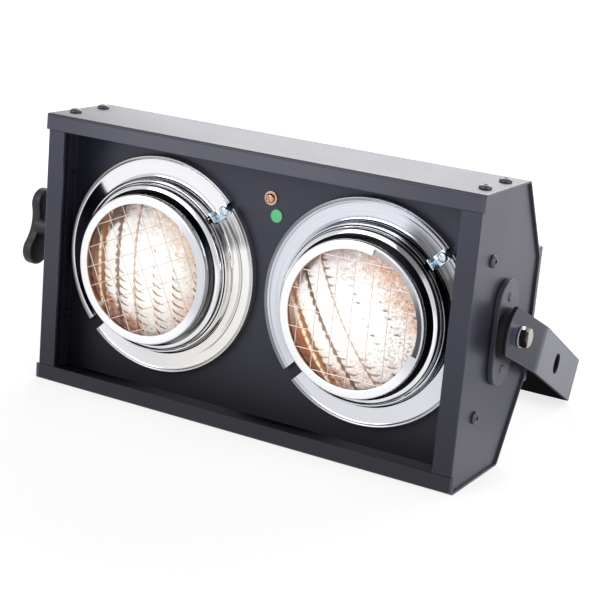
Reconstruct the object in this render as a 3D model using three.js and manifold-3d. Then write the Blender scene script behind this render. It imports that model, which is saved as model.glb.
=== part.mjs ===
// A two-lamp audience blinder: a folded sheet housing on a tilting yoke, with two sealed beam
// lamps that turn in chromed split rings. Millimetres, +Z up. The front looks towards -Y and
// the origin is the middle of the flat bottom plate.
import * as THREE from 'three';
import { mergeVertices } from 'three/addons/utils/BufferGeometryUtils.js';
import Module from 'manifold-3d';

const wasm = await Module();
wasm.setup();

// Housing
const height = 218;
const plateDepth = 80.5; // top and bottom plates, front to rear bend
const bodyDepth = 117.5; // front to rear wall
const rearSlopeHeight = 62.5;
const shellSheet = 1.5;
const lipHeight = 12.8; // front lips of the top and bottom plates
const sideReveal = 2; // the shell runs this far past each side panel
const panelSheet = 1.5;
const sideLipWidth = 15.4;
const sideFlangeWidth = 16;
const sideFlangeSetback = 8;
const baffleDepth = 33; // front to the face of the lamp panel
const baffleSheet = 1.5;
const baffleFlange = 12;
const baffleBottomGap = 4;
const coverStandOff = 8.5; // rear cover, from the rear wall to its outer face
const coverSheet = 1.5;
const coverInset = 1.5; // from the ends of the shell
const coverOverhang = 7; // past the bends of the rear slopes

// Fits
const seat = 0.3; // left between pieces that meet
const clearance = 0.3; // round a shank in its hole
const overrun = 3; // how far a cutter runs past what it cuts

// Lamp units; depths are counted from the front of the housing
const ringGap = 10.6; // between the two split rings
const ringSideRoom = 8.8; // from a ring to the end of the shell
const cupLipGap = 2.4; // round the bezel
const cupLipWidth = 4.8;
const cupSheet = 1.2;
const cupFront = 12;
const cupWallStart = 17;
const cupWallEnd = 56;
const cupBack = 84;
const cupShoulder = 78;
const cupShoulderInset = 14.4;
const cupOpeningRadius = 20;
const lampSeatDepth = 18.8; // flange inside the cup that the lamp rests on
const lampSeatWidth = 6; // inwards from the lamp's rim
const collarGap = 0.6; // lets the cup turn in the split ring
const collarFront = 18.5;
const collarBack = 36;
const ringSheet = 1.2;
const ringFaceDepth = 28;
const ringFillet = 1.2;
const ringFaceWidth = 18.5; // collar to the outside of the rim
const ringRimWidth = 1.2;
const ringRimFront = 26.3;
const ringRimSlope = 2; // from the face up to the rim's crest
const ringSlotWidth = 5.5;
const ringNotchWidth = 10;
const bezelLap = 5; // over the lamp's rim
const bezelWall = 0.7;
const bezelRimGap = 0.7; // round the lamp's rim
const bezelFront = 2;
const bezelSheet = 1.4;
const bezelStep = 6; // depth of the bezel's proud rim
const bezelSkirtInset = 0.8;
const bezelRound = 0.6;
const guardRingWidth = 6;
const guardWire = 1.4;
const guardPitch = 14.7;
const lampRimRadius = 57;
const lensRimDepth = 3; // thickness of the lens at its rim
const lensApexDepth = 7;
const lensGlass = 3.2;
const reflectorGlass = 2.5;
const reflectorDepth = 62; // front of the housing to its vertex
const reflectorThroatRadius = 13;
const reflectorBossHeight = 3;
const terminalRadius = 4;
const terminalLength = 10;
const terminalSpacing = 18;
const filamentPostRadius = 0.7;
const filamentCoilRadius = 1.6;
const filamentHalfSpan = 6;
const filamentDepth = 46;

// Yoke and pivots
const pivotDepth = bodyDepth / 2;
const pivotHeight = height / 2;
const yokeBar = 36; // width of the flat bar
const yokeThickness = 3;
const yokeArmGap = 13; // side panel to the inner face of an arm
const yokeDrawIn = 26; // how far each arm comes inwards between its bends
const yokeArmLength = 54.4; // pivot to the first bend
const yokeReach = 233; // pivot to the outer face of the back bar
const yokeEndRadius = 26;
const yokeBendRadius = 8;
const yokeFloorGap = 0.3;
const yokeHoleRadius = 8;
const yokeHoleReach = 126.5;
const clampHoleRadius = 6.5;
const clampSideHoleRadius = 5.5;
const clampSideHoleX = 75;
const pivotPlateLength = 80;
const pivotPlateWidth = 34;
const pivotPlateThickness = 4.5;
const pivotRivetSpacing = 54.7;
const pivotRivetRadius = 3.6;
const pivotRivetHeight = 0.9;
const discRadius = 19;
const boltRadius = 4;
const boltHeadAcrossFlats = 13;
const boltHeadHeight = 5.3;
const nutHeight = 6.5;
const washerRadius = 8;
const washerThickness = 1.6;
const knobStandOut = 40; // arm to the outer face of the knob
const knobThickness = 10;
const knobHubRadius = 8;
const knobLobeRadius = 12.2;
const knobLobeReach = 20.3;
const knobWaist = 7.2;
const knobTilt = THREE.MathUtils.degToRad(13.6);
const studSocket = 16; // how far the stud runs into the knob
const studInside = 14; // and how far past the side panel

// Fasteners
const sideScrewDepth = 28.5;
const sideScrewSpacing = 116;
const topScrewInset = 9; // from the side panel's outer face
const topScrewDepths = [22, 58];
const screwHeadRadius = 4.75;
const screwHeadHeight = 2.6;
const screwShankRadius = 2;
const screwLength = 7;
const socketRadius = 1.7;
const socketDepth = 1.4;
const coverScrewInset = 36;
const coverScrewMargin = 18.5; // from the cover's upper and lower edges
const coverBossRadius = 6;
const clipScrewOut = 10.3; // from the collar
const clipHalfWidth = 5.5;
const clipThickness = 1.3;
const clipInset = 3.7; // from the outside of the ring
const clipUpstand = 8;
const clipHeadRadius = 4;
const clipNutAcrossFlats = 7;
const clipNutHeight = 2.3;

// Earth point, terminal block, vents and gland
const earthX = 1.5;
const earthDrop = 39.2; // below the top plate
const earthHeadRadius = 3.7;
const earthHeadHeight = 2.4;
const earthWasherRadius = 5.4;
const earthWasherThickness = 1;
const labelShift = 5.9; // from the earth screw, sideways
const labelDrop = 12.8; // and down
const labelRadius = 5;
const labelThickness = 0.5;
const blockWidth = 44;
const blockDepth = 18;
const blockHeight = 20;
const blockRise = 19; // its middle, above the pivots
const blockHoleRadius = 2.2;
const blockPitch = 12;
const glandRise = 28.5; // its axis, above the cover's lower edge
const glandThreadRadius = 10;
const glandBoreRadius = 5;
const glandHexAcrossFlats = 24;
const glandHexLength = 6;
const glandCapRadius = 11.5;
const glandCapLength = 14;
const glandNutAcrossFlats = 26;
const glandNutThickness = 4.6;
const ventWidth = 6;
const ventHeight = 30;
const ventPitch = 14;
const ventsPerLamp = 7;
const wireWindowRadius = 12;

// Numbers of facets, angles, and shares of the sizes above
const fineFacets = 32;
const plainFacets = 16;
const smallFacets = 8;
const hexFacets = 6;
const bendSteps = 3;
const parabolaSteps = 3;
const lobeSteps = 6;
const clampAngle = THREE.MathUtils.degToRad(43.5);
const notchAngle = THREE.MathUtils.degToRad(-134.5);
const bezelGapFrom = THREE.MathUtils.degToRad(-16.5);
const bezelGapTo = THREE.MathUtils.degToRad(75.5);
const lampTurns = { left: 4, right: 32 };
const guardTurns = { left: 25, right: 0 };
const quarter = Math.PI / 2;
const lensShares = [[0, 0], [0.4, 0.11], [0.75, 0.45], [0.96, 0.86]];
const lipShares = [[0.12, 0.02], [0.75, 0.3]];
const domeShares = [[1, 0], [0.92, 0.58], [0.55, 1]];
const capShares = [[1, 0], [1, 0.55], [0.86, 0.9], [0.7, 1]];

// Places worked out from the sizes above
const frontY = -plateDepth / 2;
const atDepth = (depth) => frontY + depth;
const bezelSkirtInner = lampRimRadius + bezelRimGap;
const bezelSkirtOuter = bezelSkirtInner + bezelWall;
const bezelRadius = bezelSkirtOuter + bezelSkirtInset;
const bezelOpeningRadius = lampRimRadius - bezelLap;
const guardRingInner = lampRimRadius - guardRingWidth;
const lampSeatRadius = lampRimRadius - lampSeatWidth;
const cupLipInnerRadius = bezelRadius + cupLipGap;
const cupRadius = cupLipInnerRadius + cupLipWidth;
const cupShoulderRadius = cupRadius - cupShoulderInset;
const collarInner = cupRadius + collarGap;
const collarOuter = collarInner + ringSheet;
const ringRadius = collarOuter + ringFaceWidth;
const clipScrewRadius = collarOuter + clipScrewOut;
const clipOuterRadius = ringRadius - clipInset;
const lampPitch = 2 * ringRadius + ringGap;
const width = lampPitch + 2 * (ringRadius + ringSideRoom); // over the ends of the shell
const panelX = width / 2 - sideReveal; // outer face of a side panel
const topScrewX = panelX - topScrewInset;
const coverHalfWidth = width / 2 - coverInset;
const coverBottom = rearSlopeHeight - coverOverhang;
const coverTop = height - coverBottom;
const coverScrewX = coverHalfWidth - coverScrewInset;
const earthZ = height - earthDrop;
const labelX = earthX + labelShift;
const labelZ = earthZ - labelDrop;
const blockCentreZ = pivotHeight + blockRise;
const glandZ = coverBottom + glandRise;
const plateX = panelX + seat; // inner face of a pivot plate
const discX = plateX + pivotPlateThickness + seat;
const armInnerX = panelX + yokeArmGap;
const yokeArmX = armInnerX + yokeThickness;
const yokeBackX = yokeArmX - yokeDrawIn;
const knobOuterX = yokeArmX + knobStandOut;
const yokeDrop = pivotHeight - yokeFloorGap;
const yokeCorner = Math.hypot(yokeReach, yokeBar / 2);
const yokeTilt = Math.asin(yokeDrop / yokeCorner) - Math.atan2(yokeBar / 2, yokeReach);
const coverOuter = bodyDepth + coverStandOff;
const coverInner = coverOuter - coverSheet;
const lensFront = lampSeatDepth - seat - reflectorBossHeight - seat - lensRimDepth;

// Finishes, as colours for a plain view
const finish = (color, roughness, metalness) => () => (
  new THREE.MeshStandardMaterial({ color, roughness, metalness })
);
const powderCoat = finish(0x3f3f46, 0.5, 0.3);
const blackSteel = finish(0x1c1c20, 0.45, 0.5);
const chrome = finish(0xd4d4d2, 0.1, 1);
const satinSteel = finish(0xb9bcc4, 0.35, 0.9);
const zinc = finish(0xb7c2c8, 0.3, 0.9);
const brass = finish(0xb98a5c, 0.3, 0.9);
const rubber = finish(0x141416, 0.8, 0);
const plastic = finish(0x2b2b30, 0.45, 0);
const ceramic = finish(0xe8e2d4, 0.6, 0);
const greenLabel = finish(0x3fae62, 0.5, 0);
const lampGlass = finish(0xf3e6cf, 0.15, 0);
const mirrorGlass = finish(0xc9b291, 0.2, 0.8);
const tungsten = finish(0xffe0a0, 0.4, 0.6);

// Turns a closed geometry into a solid with its faces outwards
function solid(geometry) {
  const bare = geometry.clone();
  bare.deleteAttribute('normal');
  bare.deleteAttribute('uv');
  const merged = mergeVertices(bare);
  const corners = merged.index.array;
  const places = merged.attributes.position;
  const triangles = [];
  const [a, b, c] = [new THREE.Vector3(), new THREE.Vector3(), new THREE.Vector3()];
  let volume = 0;
  for (let i = 0; i < corners.length; i += 3) {
    const [p, q, r] = [corners[i], corners[i + 1], corners[i + 2]];
    if (p === q || q === r || p === r) continue;
    triangles.push([p, q, r]);
    a.fromBufferAttribute(places, p);
    b.fromBufferAttribute(places, q);
    c.fromBufferAttribute(places, r);
    volume += a.dot(b.cross(c));
  }
  const outward = triangles.map(([p, q, r]) => (volume < 0 ? [p, r, q] : [p, q, r]));
  const mesh = new wasm.Mesh({
    numProp: 3,
    vertProperties: new Float32Array(places.array),
    triVerts: new Uint32Array(outward.flat()),
  });
  return new wasm.Manifold(mesh);
}

function geometryOf(piece) {
  const mesh = piece.getMesh();
  const geometry = new THREE.BufferGeometry();
  geometry.setAttribute('position', new THREE.BufferAttribute(mesh.vertProperties, 3));
  geometry.setIndex(new THREE.BufferAttribute(mesh.triVerts, 1));
  geometry.computeVertexNormals();
  return geometry;
}

function named(name, piece, material) {
  const mesh = new THREE.Mesh(geometryOf(piece), material());
  mesh.name = name;
  return mesh;
}

function groupOf(...members) {
  const group = new THREE.Group();
  group.add(...members);
  return group;
}

function box(from, to) {
  const size = to.map((value, i) => value - from[i]);
  const geometry = new THREE.BoxGeometry(...size);
  return solid(geometry.translate(...from.map((value, i) => value + size[i] / 2)));
}

// A round or many-sided bar between two places along one axis
function bar(axis, radius, from, to, [u, v] = [0, 0], facets = plainFacets, turn = 0) {
  const geometry = new THREE.CylinderGeometry(radius, radius, to - from, facets);
  geometry.rotateY(turn);
  const middle = (from + to) / 2;
  if (axis === 'x') geometry.rotateZ(-quarter).translate(middle, u, v);
  if (axis === 'y') geometry.translate(u, middle, v);
  if (axis === 'z') geometry.rotateX(quarter).translate(u, v, middle);
  return solid(geometry);
}

const hexRadius = (acrossFlats) => acrossFlats / 2 / Math.cos(Math.PI / hexFacets);

// A shape turned about the Y axis, from points of radius and depth
function revolve(points, facets = fineFacets) {
  const closed = points[0][0] === 0 ? points : [...points, points[0]];
  return solid(new THREE.LatheGeometry(closed.map(([r, y]) => new THREE.Vector2(r, y)), facets));
}

function shapeOf(points) {
  return new THREE.Shape(points.map(([x, y]) => new THREE.Vector2(x, y)));
}

// An outline in the YZ plane, extruded along X
function extrudeX(points, from, to) {
  const geometry = new THREE.ExtrudeGeometry(shapeOf(points), { depth: to - from, bevelEnabled: false });
  geometry.translate(0, 0, from);
  const turn = new THREE.Matrix4().makeBasis(
    new THREE.Vector3(0, 1, 0),
    new THREE.Vector3(0, 0, 1),
    new THREE.Vector3(1, 0, 0),
  );
  return solid(geometry.applyMatrix4(turn));
}

// An outline in the XY plane, extruded along Z
function extrudeZ(points, from, to) {
  const geometry = new THREE.ExtrudeGeometry(shapeOf(points), { depth: to - from, bevelEnabled: false });
  return solid(geometry.translate(0, 0, from));
}

// A path moved sideways by a distance, with mitred corners; a positive one moves it to the left
function offsetPath(points, distance) {
  const normals = points.slice(1).map(([x, y], i) => {
    const [dx, dy] = [x - points[i][0], y - points[i][1]];
    const length = Math.hypot(dx, dy);
    return [-dy / length, dx / length];
  });
  return points.map(([x, y], i) => {
    const before = normals[Math.max(i - 1, 0)];
    const after = normals[Math.min(i, normals.length - 1)];
    const scale = distance / (1 + before[0] * after[0] + before[1] * after[1]);
    return [x + scale * (before[0] + after[0]), y + scale * (before[1] + after[1])];
  });
}

// The outline of a sheet that is folded along a path, its thickness on the left of the path
const folded = (path, sheet) => [...path, ...offsetPath(path, sheet).reverse()];

// A path with its inner corners rounded
function rounded(points, radius) {
  const result = [points[0]];
  for (let i = 1; i < points.length - 1; i += 1) {
    const corner = new THREE.Vector2(...points[i]);
    const back = new THREE.Vector2(...points[i - 1]).sub(corner).normalize();
    const on = new THREE.Vector2(...points[i + 1]).sub(corner).normalize();
    const reach = radius * Math.tan((Math.PI - back.angleTo(on)) / 2);
    const start = corner.clone().addScaledVector(back, reach);
    const end = corner.clone().addScaledVector(on, reach);
    const curve = new THREE.QuadraticBezierCurve(start, corner, end);
    result.push(...curve.getPoints(bendSteps).map((p) => [p.x, p.y]));
  }
  return [...result, points.at(-1)];
}

const all = (pieces) => pieces.reduce((whole, piece) => whole.add(piece));
const cut = (piece, cutters) => cutters.reduce((rest, cutter) => rest.subtract(cutter), piece);
const both = (make) => [-1, 1].map(make);

// Places of the fasteners, on the housing
const screwHeights = [pivotHeight - sideScrewSpacing / 2, pivotHeight + sideScrewSpacing / 2];
const coverScrewHeights = [coverBottom + coverScrewMargin, coverTop - coverScrewMargin];
const topScrewPlaces = both((side) => (
  topScrewDepths.map((depth) => [side * topScrewX, atDepth(depth)])
)).flat();
const coverScrewPlaces = both((side) => coverScrewHeights.map((z) => [side * coverScrewX, z])).flat();
const screwHole = screwShankRadius + clearance;

// The outside of the housing seen from its side, front bottom corner first
const housingOutline = [
  [atDepth(0), 0],
  [atDepth(plateDepth), 0],
  [atDepth(bodyDepth), rearSlopeHeight],
  [atDepth(bodyDepth), height - rearSlopeHeight],
  [atDepth(plateDepth), height],
  [atDepth(0), height],
];

// The shell: one sheet folded round from the bottom lip over the back to the top lip
function shell() {
  const path = [[atDepth(0), lipHeight], ...housingOutline, [atDepth(0), height - lipHeight]];
  const sheet = extrudeX(folded(path, shellSheet), -width / 2, width / 2);
  const wall = [atDepth(bodyDepth) - shellSheet - overrun, atDepth(bodyDepth) + overrun];
  const top = [height - shellSheet - overrun, height + overrun];
  const screws = topScrewPlaces.map((place) => bar('z', screwHole, ...top, place, smallFacets));
  const coverScrews = coverScrewPlaces.map((place) => bar('y', screwHole, ...wall, place, smallFacets));
  const window = bar('y', wireWindowRadius, ...wall, [0, glandZ]);
  const ventMiddles = [rearSlopeHeight / 2, height - rearSlopeHeight / 2];
  const ventRow = (side) => Array.from({ length: ventsPerLamp }, (_, i) => (
    side * lampPitch / 2 + (i - (ventsPerLamp - 1) / 2) * ventPitch
  ));
  const vents = ventMiddles.flatMap((z) => both(ventRow).flat().map((x) => (
    box(
      [x - ventWidth / 2, atDepth(plateDepth), z - ventHeight / 2],
      [x + ventWidth / 2, wall[1], z + ventHeight / 2],
    )
  )));
  return cut(sheet, [...screws, ...coverScrews, window, ...vents]);
}

// A side panel: the flat plate, its front lip and the two flanges that meet the shell
function sidePanel(side) {
  const gap = shellSheet + seat;
  const [lipFront, lipBack] = [atDepth(seat), atDepth(gap)];
  const outline = [
    [lipBack, gap],
    ...offsetPath(housingOutline, gap).slice(1, -1),
    [lipBack, height - gap],
    [lipBack, height - lipHeight - seat],
    [lipFront, height - lipHeight - seat],
    [lipFront, lipHeight + seat],
    [lipBack, lipHeight + seat],
  ];
  const span = (near, far) => (side > 0 ? [near, far] : [-far, -near]);
  const [plateFrom, plateTo] = span(panelX - panelSheet, panelX);
  const [lipFrom, lipTo] = span(panelX - sideLipWidth, panelX);
  const [flangeFrom, flangeTo] = span(panelX - sideFlangeWidth, panelX);
  const flangeY = [atDepth(sideFlangeSetback), atDepth(plateDepth - sideFlangeSetback)];
  const lip = box(
    [lipFrom, lipFront, lipHeight + seat],
    [lipTo, lipFront + panelSheet, height - lipHeight - seat],
  );
  const flanges = [gap, height - gap - panelSheet].map((z) => (
    box([flangeFrom, flangeY[0], z], [flangeTo, flangeY[1], z + panelSheet])
  ));
  const across = [plateFrom - overrun, plateTo + overrun];
  const sideScrews = screwHeights.map((z) => (
    bar('x', screwHole, ...across, [atDepth(sideScrewDepth), z], smallFacets)
  ));
  const pivotHole = bar('x', boltRadius + clearance, ...across, [atDepth(pivotDepth), pivotHeight]);
  const top = [height - gap - panelSheet - overrun, height];
  const topScrews = topScrewPlaces.map((place) => bar('z', screwHole, ...top, place, smallFacets));
  const plate = extrudeX(outline, plateFrom, plateTo);
  return cut(all([plate, lip, ...flanges]), [...sideScrews, pivotHole, ...topScrews]);
}

// The lamp panel, with a flange folded forward at each side
function frontBaffle() {
  const edge = panelX - panelSheet - seat;
  const back = atDepth(baffleDepth + baffleSheet);
  const front = back - baffleFlange;
  const path = [[edge, front], [edge, back], [-edge, back], [-edge, front]];
  const top = height - shellSheet - panelSheet - 2 * seat;
  const sheet = extrudeZ(folded(path, baffleSheet), shellSheet + baffleBottomGap, top);
  const through = [atDepth(baffleDepth) - overrun, back + overrun];
  const holes = both((side) => (
    bar('y', collarOuter + 2 * seat, ...through, [side * lampPitch / 2, pivotHeight], fineFacets)
  ));
  const earth = bar('y', screwHole, ...through, [earthX, earthZ], smallFacets);
  const screws = screwHeights.map((z) => (
    bar('x', screwHole, -edge - overrun, edge + overrun, [atDepth(sideScrewDepth), z], smallFacets)
  ));
  return cut(sheet, [...holes, earth, ...screws]);
}

// The rear cover: a shallow pan over the rear wall, with a boss under each of its screws
function rearCover() {
  const wall = atDepth(bodyDepth) + seat;
  const [front, outer] = [atDepth(plateDepth), atDepth(coverOuter)];
  const hollow = coverHalfWidth - coverSheet;
  const pan = box([-coverHalfWidth, front, coverBottom], [coverHalfWidth, outer, coverTop]);
  const inside = box(
    [-hollow, front - overrun, coverBottom + coverSheet],
    [hollow, outer - coverSheet, coverTop - coverSheet],
  );
  const through = [wall - overrun, outer + overrun];
  const bosses = coverScrewPlaces.map((place) => (
    bar('y', coverBossRadius, wall, outer - coverSheet / 2, place)
  ));
  const holes = coverScrewPlaces.map((place) => bar('y', screwHole, ...through, place, smallFacets));
  const gland = bar('y', glandThreadRadius + clearance, ...through, [0, glandZ]);
  const housing = extrudeX(offsetPath(housingOutline, -seat), -width / 2, width / 2);
  return cut(pan, [inside, housing]).add(all(bosses)).subtract(all([...holes, gland]));
}

function terminalBlock() {
  const back = atDepth(bodyDepth) - shellSheet - seat;
  const low = blockCentreZ - blockHeight / 2;
  const body = box([-blockWidth / 2, back - blockDepth, low], [blockWidth / 2, back, low + blockHeight]);
  const middle = back - blockDepth / 2;
  const columns = [-1, 0, 1].map((i) => i * blockPitch);
  const wells = columns.map((x) => (
    bar('y', blockHoleRadius, back - blockDepth - overrun, middle, [x, blockCentreZ], smallFacets)
  ));
  const wireWays = columns.map((x) => (
    bar('z', blockHoleRadius, low - overrun, low + blockHeight + overrun, [x, middle], smallFacets)
  ));
  return cut(body, [...wells, ...wireWays]);
}

// The cable gland, with its bore right through
function glandBody() {
  const plate = atDepth(coverOuter) + seat;
  const inside = atDepth(coverInner) - seat - glandNutThickness;
  const hexEnd = plate + glandHexLength;
  const cap = capShares.map(([r, y]) => [r * glandCapRadius, hexEnd + y * glandCapLength]);
  const profile = [
    [glandBoreRadius, inside],
    [glandThreadRadius, inside],
    [glandThreadRadius, plate],
    [glandThreadRadius, hexEnd],
    ...cap,
    [glandBoreRadius, hexEnd + glandCapLength],
  ];
  const turned = revolve(profile, plainFacets).translate([0, 0, glandZ]);
  const hex = bar('y', hexRadius(glandHexAcrossFlats), plate, hexEnd, [0, glandZ], hexFacets);
  const bore = bar('y', glandBoreRadius, plate - overrun, hexEnd + overrun, [0, glandZ]);
  return hex.subtract(bore).add(turned);
}

function glandNut() {
  const back = atDepth(coverInner) - seat;
  const front = back - glandNutThickness;
  const hex = bar('y', hexRadius(glandNutAcrossFlats), front, back, [0, glandZ], hexFacets);
  const bore = bar('y', glandThreadRadius + clearance, front - overrun, back + overrun, [0, glandZ]);
  return hex.subtract(bore);
}

// A screw that points along -Z, with the underside of its domed head at the origin
function screwBody(headRadius, headHeight, shankRadius, length) {
  const dome = domeShares.map(([r, y]) => [r * headRadius, y * headHeight]);
  const profile = [[0, -length], [shankRadius, -length], [shankRadius, 0], ...dome, [0, headHeight]];
  const turned = new THREE.LatheGeometry(profile.map((p) => new THREE.Vector2(...p)), smallFacets);
  const socketFloor = headHeight - socketDepth;
  const socket = bar('z', socketRadius, socketFloor, headHeight + overrun, [0, 0], hexFacets);
  return solid(turned.rotateX(quarter)).subtract(socket);
}

const caseScrew = () => screwBody(screwHeadRadius, screwHeadHeight, screwShankRadius, screwLength);

// Stands a screw on a face: its head looks along the given direction
function standOn(mesh, place, direction) {
  mesh.position.set(...place);
  mesh.quaternion.setFromUnitVectors(new THREE.Vector3(0, 0, 1), new THREE.Vector3(...direction));
  return mesh;
}

function housingScrews() {
  const top = topScrewPlaces.map(([x, y], i) => (
    standOn(named(`top_screw_${i + 1}`, caseScrew(), blackSteel), [x, y, height + seat], [0, 0, 1])
  ));
  const sides = both((side) => screwHeights.map((z, i) => {
    const name = `side_screw_${side < 0 ? 'left' : 'right'}_${i + 1}`;
    const place = [side * (panelX + seat), atDepth(sideScrewDepth), z];
    return standOn(named(name, caseScrew(), blackSteel), place, [side, 0, 0]);
  })).flat();
  const rearLength = coverStandOff + shellSheet + screwLength / 2;
  const rear = coverScrewPlaces.map(([x, z], i) => {
    const body = screwBody(screwHeadRadius, screwHeadHeight, screwShankRadius, rearLength);
    const place = [x, atDepth(coverOuter) + seat, z];
    return standOn(named(`cover_screw_${i + 1}`, body, blackSteel), place, [0, 1, 0]);
  });
  return groupOf(...top, ...sides, ...rear);
}

// The earth screw, its washer and the round label beside it
function earthPoint() {
  const face = atDepth(baffleDepth) - seat;
  const washerFront = face - earthWasherThickness;
  const washer = bar('y', earthWasherRadius, washerFront, face, [earthX, earthZ], plainFacets)
    .subtract(bar('y', screwHole, washerFront - overrun, face + overrun, [earthX, earthZ], smallFacets));
  const screw = screwBody(earthHeadRadius, earthHeadHeight, screwShankRadius, screwLength);
  const label = bar('y', labelRadius, face - labelThickness, face, [labelX, labelZ], plainFacets);
  return groupOf(
    standOn(named('earth_screw', screw, brass), [earthX, washerFront - seat, earthZ], [0, -1, 0]),
    named('earth_washer', washer, brass),
    named('earth_label', label, greenLabel),
  );
}

// The split ring round a lamp: collar, flat face and raised rim in one sheet
function trimRing() {
  const faceBack = ringFaceDepth + ringSheet;
  const rimInner = ringRadius - ringRimWidth;
  const rimBack = baffleDepth - seat;
  const profile = [
    [collarInner, collarFront],
    [collarOuter, collarFront],
    [collarOuter, ringFaceDepth - ringFillet],
    [collarOuter + ringFillet, ringFaceDepth],
    [rimInner - ringRimSlope, ringFaceDepth],
    [rimInner, ringRimFront + ringRimWidth / 2],
    [ringRadius - ringRimWidth / 2, ringRimFront],
    [ringRadius, ringRimFront + ringRimWidth / 2],
    [ringRadius, rimBack],
    [rimInner, rimBack],
    [rimInner, faceBack],
    [collarOuter, faceBack],
    [collarOuter, collarBack],
    [collarInner, collarBack],
  ];
  const reach = ringRadius + overrun;
  const depths = [collarFront - overrun, collarBack + overrun];
  const radial = (from, halfWidth, angle) => (
    box([from, depths[0], -halfWidth], [reach, depths[1], halfWidth])
      .rotate([0, -THREE.MathUtils.radToDeg(angle), 0])
  );
  const slot = radial(collarInner - overrun, ringSlotWidth / 2, clampAngle);
  const notch = radial(collarOuter, ringNotchWidth / 2, notchAngle);
  return cut(revolve(profile), [slot, notch]);
}

// The clip that closes the ring's slot, with its screw and nut, drawn along +X
function ringClip() {
  const back = ringFaceDepth - seat;
  const front = back - clipThickness;
  const inner = collarOuter + ringFillet + seat;
  const foot = box([inner, front, -clipHalfWidth], [clipOuterRadius, back, clipHalfWidth]);
  const upstand = box(
    [inner, front - clipUpstand, -clipHalfWidth],
    [inner + clipThickness, back, clipHalfWidth],
  );
  const hole = bar('y', screwHole, front - overrun, back + overrun, [clipScrewRadius, 0], smallFacets);
  return foot.add(upstand).subtract(hole);
}

function ringClipParts(side) {
  const front = ringFaceDepth - seat - clipThickness - seat;
  const nutFront = ringFaceDepth + ringSheet + seat;
  const nutBack = nutFront + clipNutHeight;
  const screw = screwBody(clipHeadRadius, screwHeadHeight, screwShankRadius, nutBack - front);
  const place = [clipScrewRadius, 0];
  const nut = bar('y', hexRadius(clipNutAcrossFlats), nutFront, nutBack, place, hexFacets)
    .subtract(bar('y', screwHole, nutFront - overrun, nutBack + overrun, place, smallFacets));
  const group = groupOf(
    named(`ring_clip_${side}`, ringClip(), zinc),
    standOn(named(`ring_clip_screw_${side}`, screw, zinc), [clipScrewRadius, front, 0], [0, -1, 0]),
    named(`ring_clip_nut_${side}`, nut, zinc),
  );
  group.rotation.y = -clampAngle;
  return group;
}

// The chromed cup that holds the lamp: a rolled lip, a wall, a seat flange and an open back
function lampCup() {
  const inner = cupRadius - cupSheet;
  const lip = lipShares.map(([r, y]) => [
    cupLipInnerRadius + r * (cupRadius - cupLipInnerRadius),
    cupFront + y * (cupWallStart - cupFront),
  ]);
  const outside = [
    [cupLipInnerRadius, cupFront + cupSheet / 4],
    ...lip,
    [cupRadius, cupWallStart],
    [cupRadius, cupWallEnd],
    [cupShoulderRadius, cupShoulder],
    [cupOpeningRadius, cupBack],
  ];
  const inside = [
    [cupOpeningRadius, cupBack - cupSheet],
    [cupShoulderRadius - cupSheet, cupShoulder - cupSheet / 2],
    [inner, cupWallEnd - cupSheet / 2],
    [inner, lampSeatDepth + cupSheet],
    [lampSeatRadius, lampSeatDepth + cupSheet],
    [lampSeatRadius, lampSeatDepth],
    [inner, lampSeatDepth],
    [cupLipInnerRadius, cupFront + cupSheet],
  ];
  return revolve([...outside, ...inside]);
}

// The satin bezel; the one on the right has a stretch of its face missing
function bezel(open) {
  const [inner, skirt] = [bezelSkirtInner, bezelSkirtOuter];
  const back = lampSeatDepth - seat;
  const body = revolve([
    [bezelOpeningRadius, bezelFront],
    [bezelRadius - bezelRound, bezelFront],
    [bezelRadius, bezelFront + bezelRound],
    [bezelRadius, bezelFront + bezelStep],
    [skirt, bezelFront + bezelStep],
    [skirt, back],
    [inner, back],
    [inner, bezelFront + bezelSheet],
    [bezelOpeningRadius, bezelFront + bezelSheet],
  ]);
  if (!open) return body;
  const sector = new THREE.Shape();
  sector.absarc(0, 0, inner, bezelGapFrom, bezelGapTo, false);
  sector.lineTo(0, 0);
  const extent = { depth: bezelSheet + 2 * overrun, bevelEnabled: false, curveSegments: smallFacets };
  const wedge = new THREE.ExtrudeGeometry(sector, extent);
  wedge.rotateX(quarter).translate(0, bezelFront + bezelSheet + overrun, 0);
  return body.subtract(solid(wedge));
}

// The wire guard: a flat ring with crossed wires
function wireGuard() {
  const front = bezelFront + bezelSheet + seat;
  const back = front + guardWire;
  const ring = revolve([
    [guardRingInner, front],
    [lampRimRadius, front],
    [lampRimRadius, back],
    [guardRingInner, back],
  ]);
  const middle = (guardRingInner + lampRimRadius) / 2;
  const count = Math.floor(guardRingInner / guardPitch);
  const wires = [];
  for (let i = -count; i <= count; i += 1) {
    const at = i * guardPitch;
    const half = Math.sqrt(middle ** 2 - at ** 2);
    wires.push(box([at - guardWire / 2, front, -half], [at + guardWire / 2, back, half]));
    wires.push(box([-half, front, at - guardWire / 2], [half, back, at + guardWire / 2]));
  }
  return all([ring, ...wires]);
}

// The domed front glass of the sealed beam lamp
function lampLens() {
  const edge = lensFront - lensApexDepth;
  const outside = lensShares.map(([r, y]) => [r * lampRimRadius, lensApexDepth + y * edge]);
  const back = lensFront + lensRimDepth;
  const inside = outside.slice(0, -1).map(([r, y]) => [r, y + lensGlass]);
  const innerEdge = inside.at(-1)[0];
  return revolve([
    ...outside,
    [lampRimRadius, lensFront],
    [lampRimRadius, back],
    [innerEdge, back],
    ...inside.slice(1).reverse(),
    [0, lensApexDepth + lensGlass],
  ]);
}

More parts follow.
